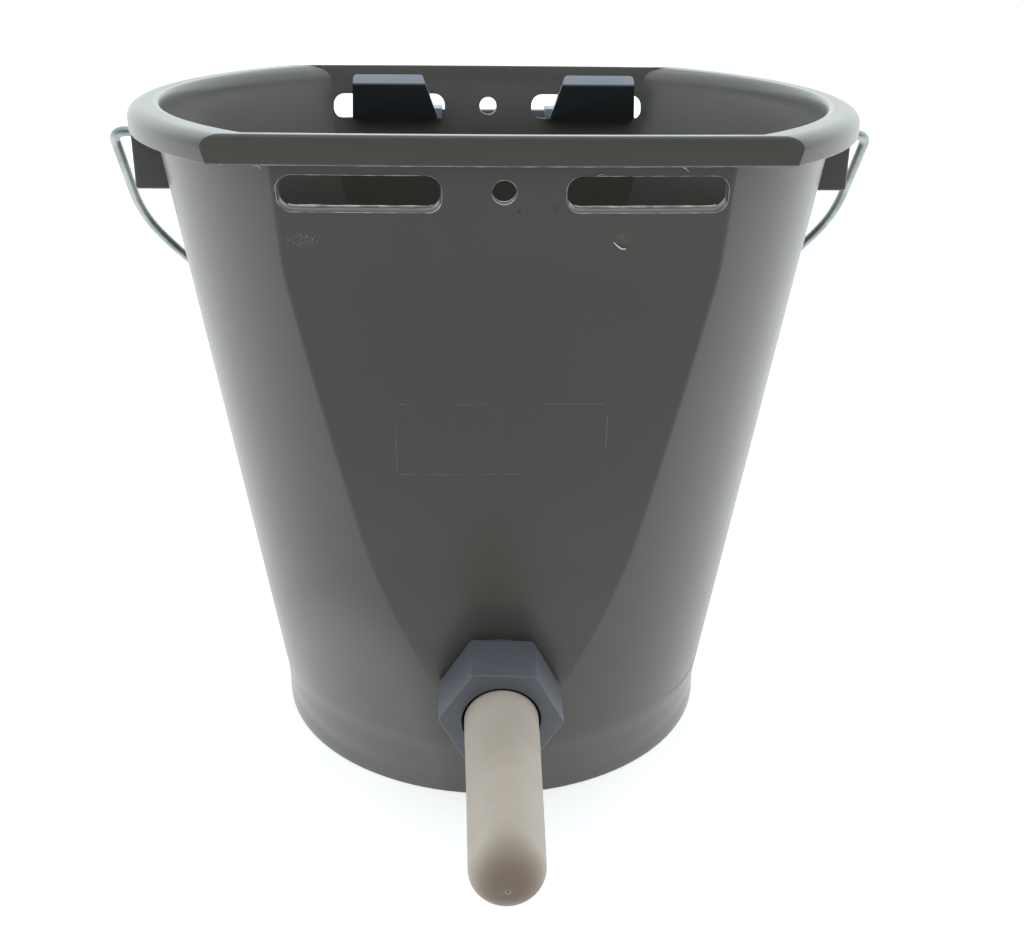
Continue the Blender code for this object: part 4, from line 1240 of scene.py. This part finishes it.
def plainFinish(name, look):
    f = Finish(name)
    tone = f.mottle(look)
    if "specks" in look:
        tone = f.specks(tone, look)
    return f.surface({"Base Color": tone, "Roughness": f.rough(look), "Normal": f.grain(look)})


zincLook = {
    "dark": (0.28, 0.315, 0.31), "light": (0.41, 0.45, 0.445), "clouds": (90.0, 4.0, 0.35, 0.7),
    "speck": (0.18, 0.20, 0.20), "specks": (260.0, 3.0, 0.6, 0.72, 0.5), "rough": (0.32, 0.22, 300.0, 3.0),
    "grain": [(700.0, 3.0, 0.6)], "spangles": 380.0, "spangle": 0.4, "depth": 0.05, "strength": 0.45,
}


def zincWire():
    f = Finish("zincWire")
    look = zincLook
    where = {"Vector": f.place(), "Scale": look["spangles"]}
    spangle = f.node("ShaderNodeTexVoronoi", inputs=where, output="Distance")
    tone = f.specks(f.mottle(look), look)
    normal = f.grain(look, spangle * look["spangle"])
    return f.surface({"Base Color": tone, "Roughness": f.rough(look), "Metallic": 1.0, "Normal": normal})


bracketLook = {
    "dark": (0.27, 0.30, 0.36), "light": (0.32, 0.35, 0.41), "clouds": (30.0, 3.0, 0.35, 0.7),
    "shaded": (0.012, 0.015, 0.018), "shadeDepth": 0.9, "shadeSoft": 0.5, "rough": (0.34, 0.14, 120.0, 3.0),
    "grain": [(380.0, 3.0, 1.0)], "depth": 0.05, "strength": 0.35,
}


def bracketPlastic():
    # painted shade: the tongues' front faces are coloured near black, as they lie in shade
    f = Finish("bracketPlastic")
    look = bracketLook
    edge = axisY + bracket["tongueBack"] - bracket["tongueThick"] + look["shadeDepth"]
    facing = f.step(edge - f.axes()[1], 0.0, look["shadeSoft"])
    tone = f.mix(facing, f.mottle(look), look["shaded"])
    return f.surface({"Base Color": tone, "Roughness": f.rough(look), "Normal": f.grain(look)})


teatLook = {
    "dark": (0.486, 0.412, 0.352), "light": (0.55, 0.468, 0.404), "clouds": (45.0, 4.0, 0.3, 0.7),
    # painted shade: tip is the colour that darkens the teat towards its end
    "tip": (0.255, 0.185, 0.145), "tipShadeEnds": (90.0, 108.0), "tipShadeBow": 0.055, "wander": 1.8,
    "underside": 46.0, "undersideSoft": 7.0, "undersideLess": 0.55,
    "bead": (0.60, 0.54, 0.47), "beadEnds": (0.7, 1.4), "beadShare": 0.45,
    # painted shade: root darkens the teat where it lies inside the nut's bore
    "root": (0.03, 0.028, 0.026), "rootShadeFrom": 0.7, "rootShadeTo": 0.1,
    "speck": (0.33, 0.28, 0.22), "specks": (620.0, 1.0, 0.74, 0.77, 0.35), "rough": (0.50, 0.12, 200.0, 3.0),
    "grain": [(500.0, 3.0, 0.7), (70.0, 2.0, 1.0)], "depth": 0.05, "strength": 0.4,
}


def teatRubber():
    # painted shade darkens the teat towards the tip, less on its underside, and the teat is paler on the bead
    # round the hole
    f = Finish("teatRubber")
    look = teatLook
    x, _, z = f.axes()
    along = f.along(spoutOrigin, spoutAxis)
    reach = along + (f.noise(60.0, 3.0) - 0.5) * look["wander"] - look["tipShadeBow"] * x * x
    under = f.step(look["underside"] - z, 0.0, look["undersideSoft"])
    paintedTipShade = f.step(reach, *look["tipShadeEnds"]) * (1.0 - look["undersideLess"] * under)
    tip = spoutPlace @ Vector((teat["drift"], 0, teat["length"])) * mm
    away = f.node("ShaderNodeVectorMath", {"operation": "DISTANCE"}, {0: f.place(), 1: tip}, "Value") * 1000.0
    # painted shade inside the nut's bore
    root = 1.0 - f.step(along, nut["front"] - look["rootShadeFrom"], nut["front"] - look["rootShadeTo"])
    tone = f.mix(paintedTipShade, f.mottle(look), look["tip"])
    tone = f.mix((1.0 - f.step(away, *look["beadEnds"])) * look["beadShare"], tone, look["bead"])
    tone = f.specks(f.mix(root, tone, look["root"]), look)
    return f.surface({"Base Color": tone, "Roughness": f.rough(look), "Normal": f.grain(look)})


# Light, floor and camera

light = {
    "front": 0.10, "side": 1.25, "back": 2.05, "overhead": 0.8, "tint": (0.905, 0.985, 1.0),
    "frontEnds": -0.80, "sideStarts": -0.20, "backStarts": 0.20, "backFull": 0.75,
}


def makeWorld():
    world = bpy.data.worlds.new("studio")
    bpy.context.scene.world = world
    world.use_nodes = True
    f = Finish("studio", world.node_tree)
    _, ahead, up = f.split(f.node("ShaderNodeTexCoord", output="Generated"))
    above = up.most(0.0)
    beside = f.step(ahead + above * above * light["overhead"], light["frontEnds"], light["sideStarts"])
    behind = f.step(ahead, light["backStarts"], light["backFull"])
    level = light["front"] + (light["side"] - light["front"]) * beside
    level = level + (light["back"] - light["side"]) * behind
    seen = f.rays("Is Camera Ray")
    tone = f.mix(seen, light["tint"], (1, 1, 1))
    shade = f.node("ShaderNodeBackground", inputs={"Color": tone, "Strength": level * (1.0 - seen) + seen})
    f.node("ShaderNodeOutputWorld", inputs={"Surface": shade})


floorLook = {
    "size": 9.0, "dark": (0.58, 0.58, 0.58), "light": (0.62, 0.62, 0.62), "clouds": (3.0, 2.0),
    "glow": 0.62, "mirrored": 0.95, "flag": 0.10, "flagFrom": -330.0, "flagTo": -110.0,
}


def makeFloor():
    # the camera and mirrors see it white; a dark flag lies in front, as reflections in the bucket show
    f = Finish("floor")
    look = floorLook
    flag = look["flag"] + (1.0 - look["flag"]) * f.step(f.axes()[1], look["flagFrom"], look["flagTo"])
    mirrored = f.rays("Is Glossy Ray", "Is Transmission Ray") * flag * look["mirrored"]
    shader = f.node("ShaderNodeBsdfDiffuse", inputs={"Color": f.mottle(look)})
    seen = f.rays("Is Camera Ray") * look["glow"] + mirrored
    glow = f.node("ShaderNodeEmission", inputs={"Strength": seen})
    both = f.node("ShaderNodeAddShader", inputs={0: shader, 1: glow})
    f.node("ShaderNodeOutputMaterial", inputs={"Surface": both})
    half = look["size"] / 2 / mm
    ends = (-half, half)
    work = bmesh.new()
    loftRings(work, [[Vector((u, v, 0.0)) for u in ends] for v in ends], around=False)
    floor = meshObject("floor", work)
    floor.data.materials.append(f.material)


view = {"at": (-15.70, -469.14, 325.81), "yaw": 2.689, "pitch": 23.124, "roll": 0.675, "lens": 44.49}


def makeCamera():
    yaw, pitch, roll = (radians(view[name]) for name in ("yaw", "pitch", "roll"))
    ahead = Vector((sin(yaw) * cos(pitch), cos(yaw) * cos(pitch), -sin(pitch)))
    right = Vector((cos(yaw), -sin(yaw), 0))
    up = right.cross(ahead)
    across = right * cos(roll) + up * sin(roll)
    upward = up * cos(roll) - right * sin(roll)
    data = bpy.data.cameras.new("camera")
    data.lens = view["lens"]
    data.sensor_width = 36
    data.sensor_fit = "HORIZONTAL"
    data.clip_start = 0.01
    camera = bpy.data.objects.new("camera", data)
    place = Matrix((across, upward, -ahead)).transposed().to_4x4()
    place.translation = Vector(view["at"]) * mm
    camera.matrix_world = place
    bpy.context.scene.collection.objects.link(camera)
    bpy.context.scene.camera = camera


plastic = bucketPlastic()
flashAndHighlight = plainFinish("flashAndHighlightPlastic", flashAndHighlightLook)
faint = plainFinish("faintPlastic", faintLook)
makeShell(plastic)
makeLugs(plastic)
makeNeck(plastic)
makeSlotFlashAndHighlights(flashAndHighlight)
makeSkirtFlashAndHighlight(flashAndHighlight)
makeCrestLine(flashAndHighlight)
makeLabelOutline(faint)
makeSeams(plastic, faint)
makeHairs(flashAndHighlight, plainFinish("trimmings", trimmingLook))
makeBail(zincWire())
makeBracket(bracketPlastic())
makeNut(plainFinish("nutPlastic", nutLook))
makeTeat(teatRubber())
makeSpigot(plainFinish("spigotPlastic", nutLook))
makeGasket(plainFinish("blackRubber", gasketLook))
makeCage(plainFinish("cagePlastic", nutLook))
makeBall(plainFinish("whitePlastic", ballLook))
makeWorld()
makeFloor()
makeCamera()
bpy.context.scene.view_settings.view_transform = "Standard"
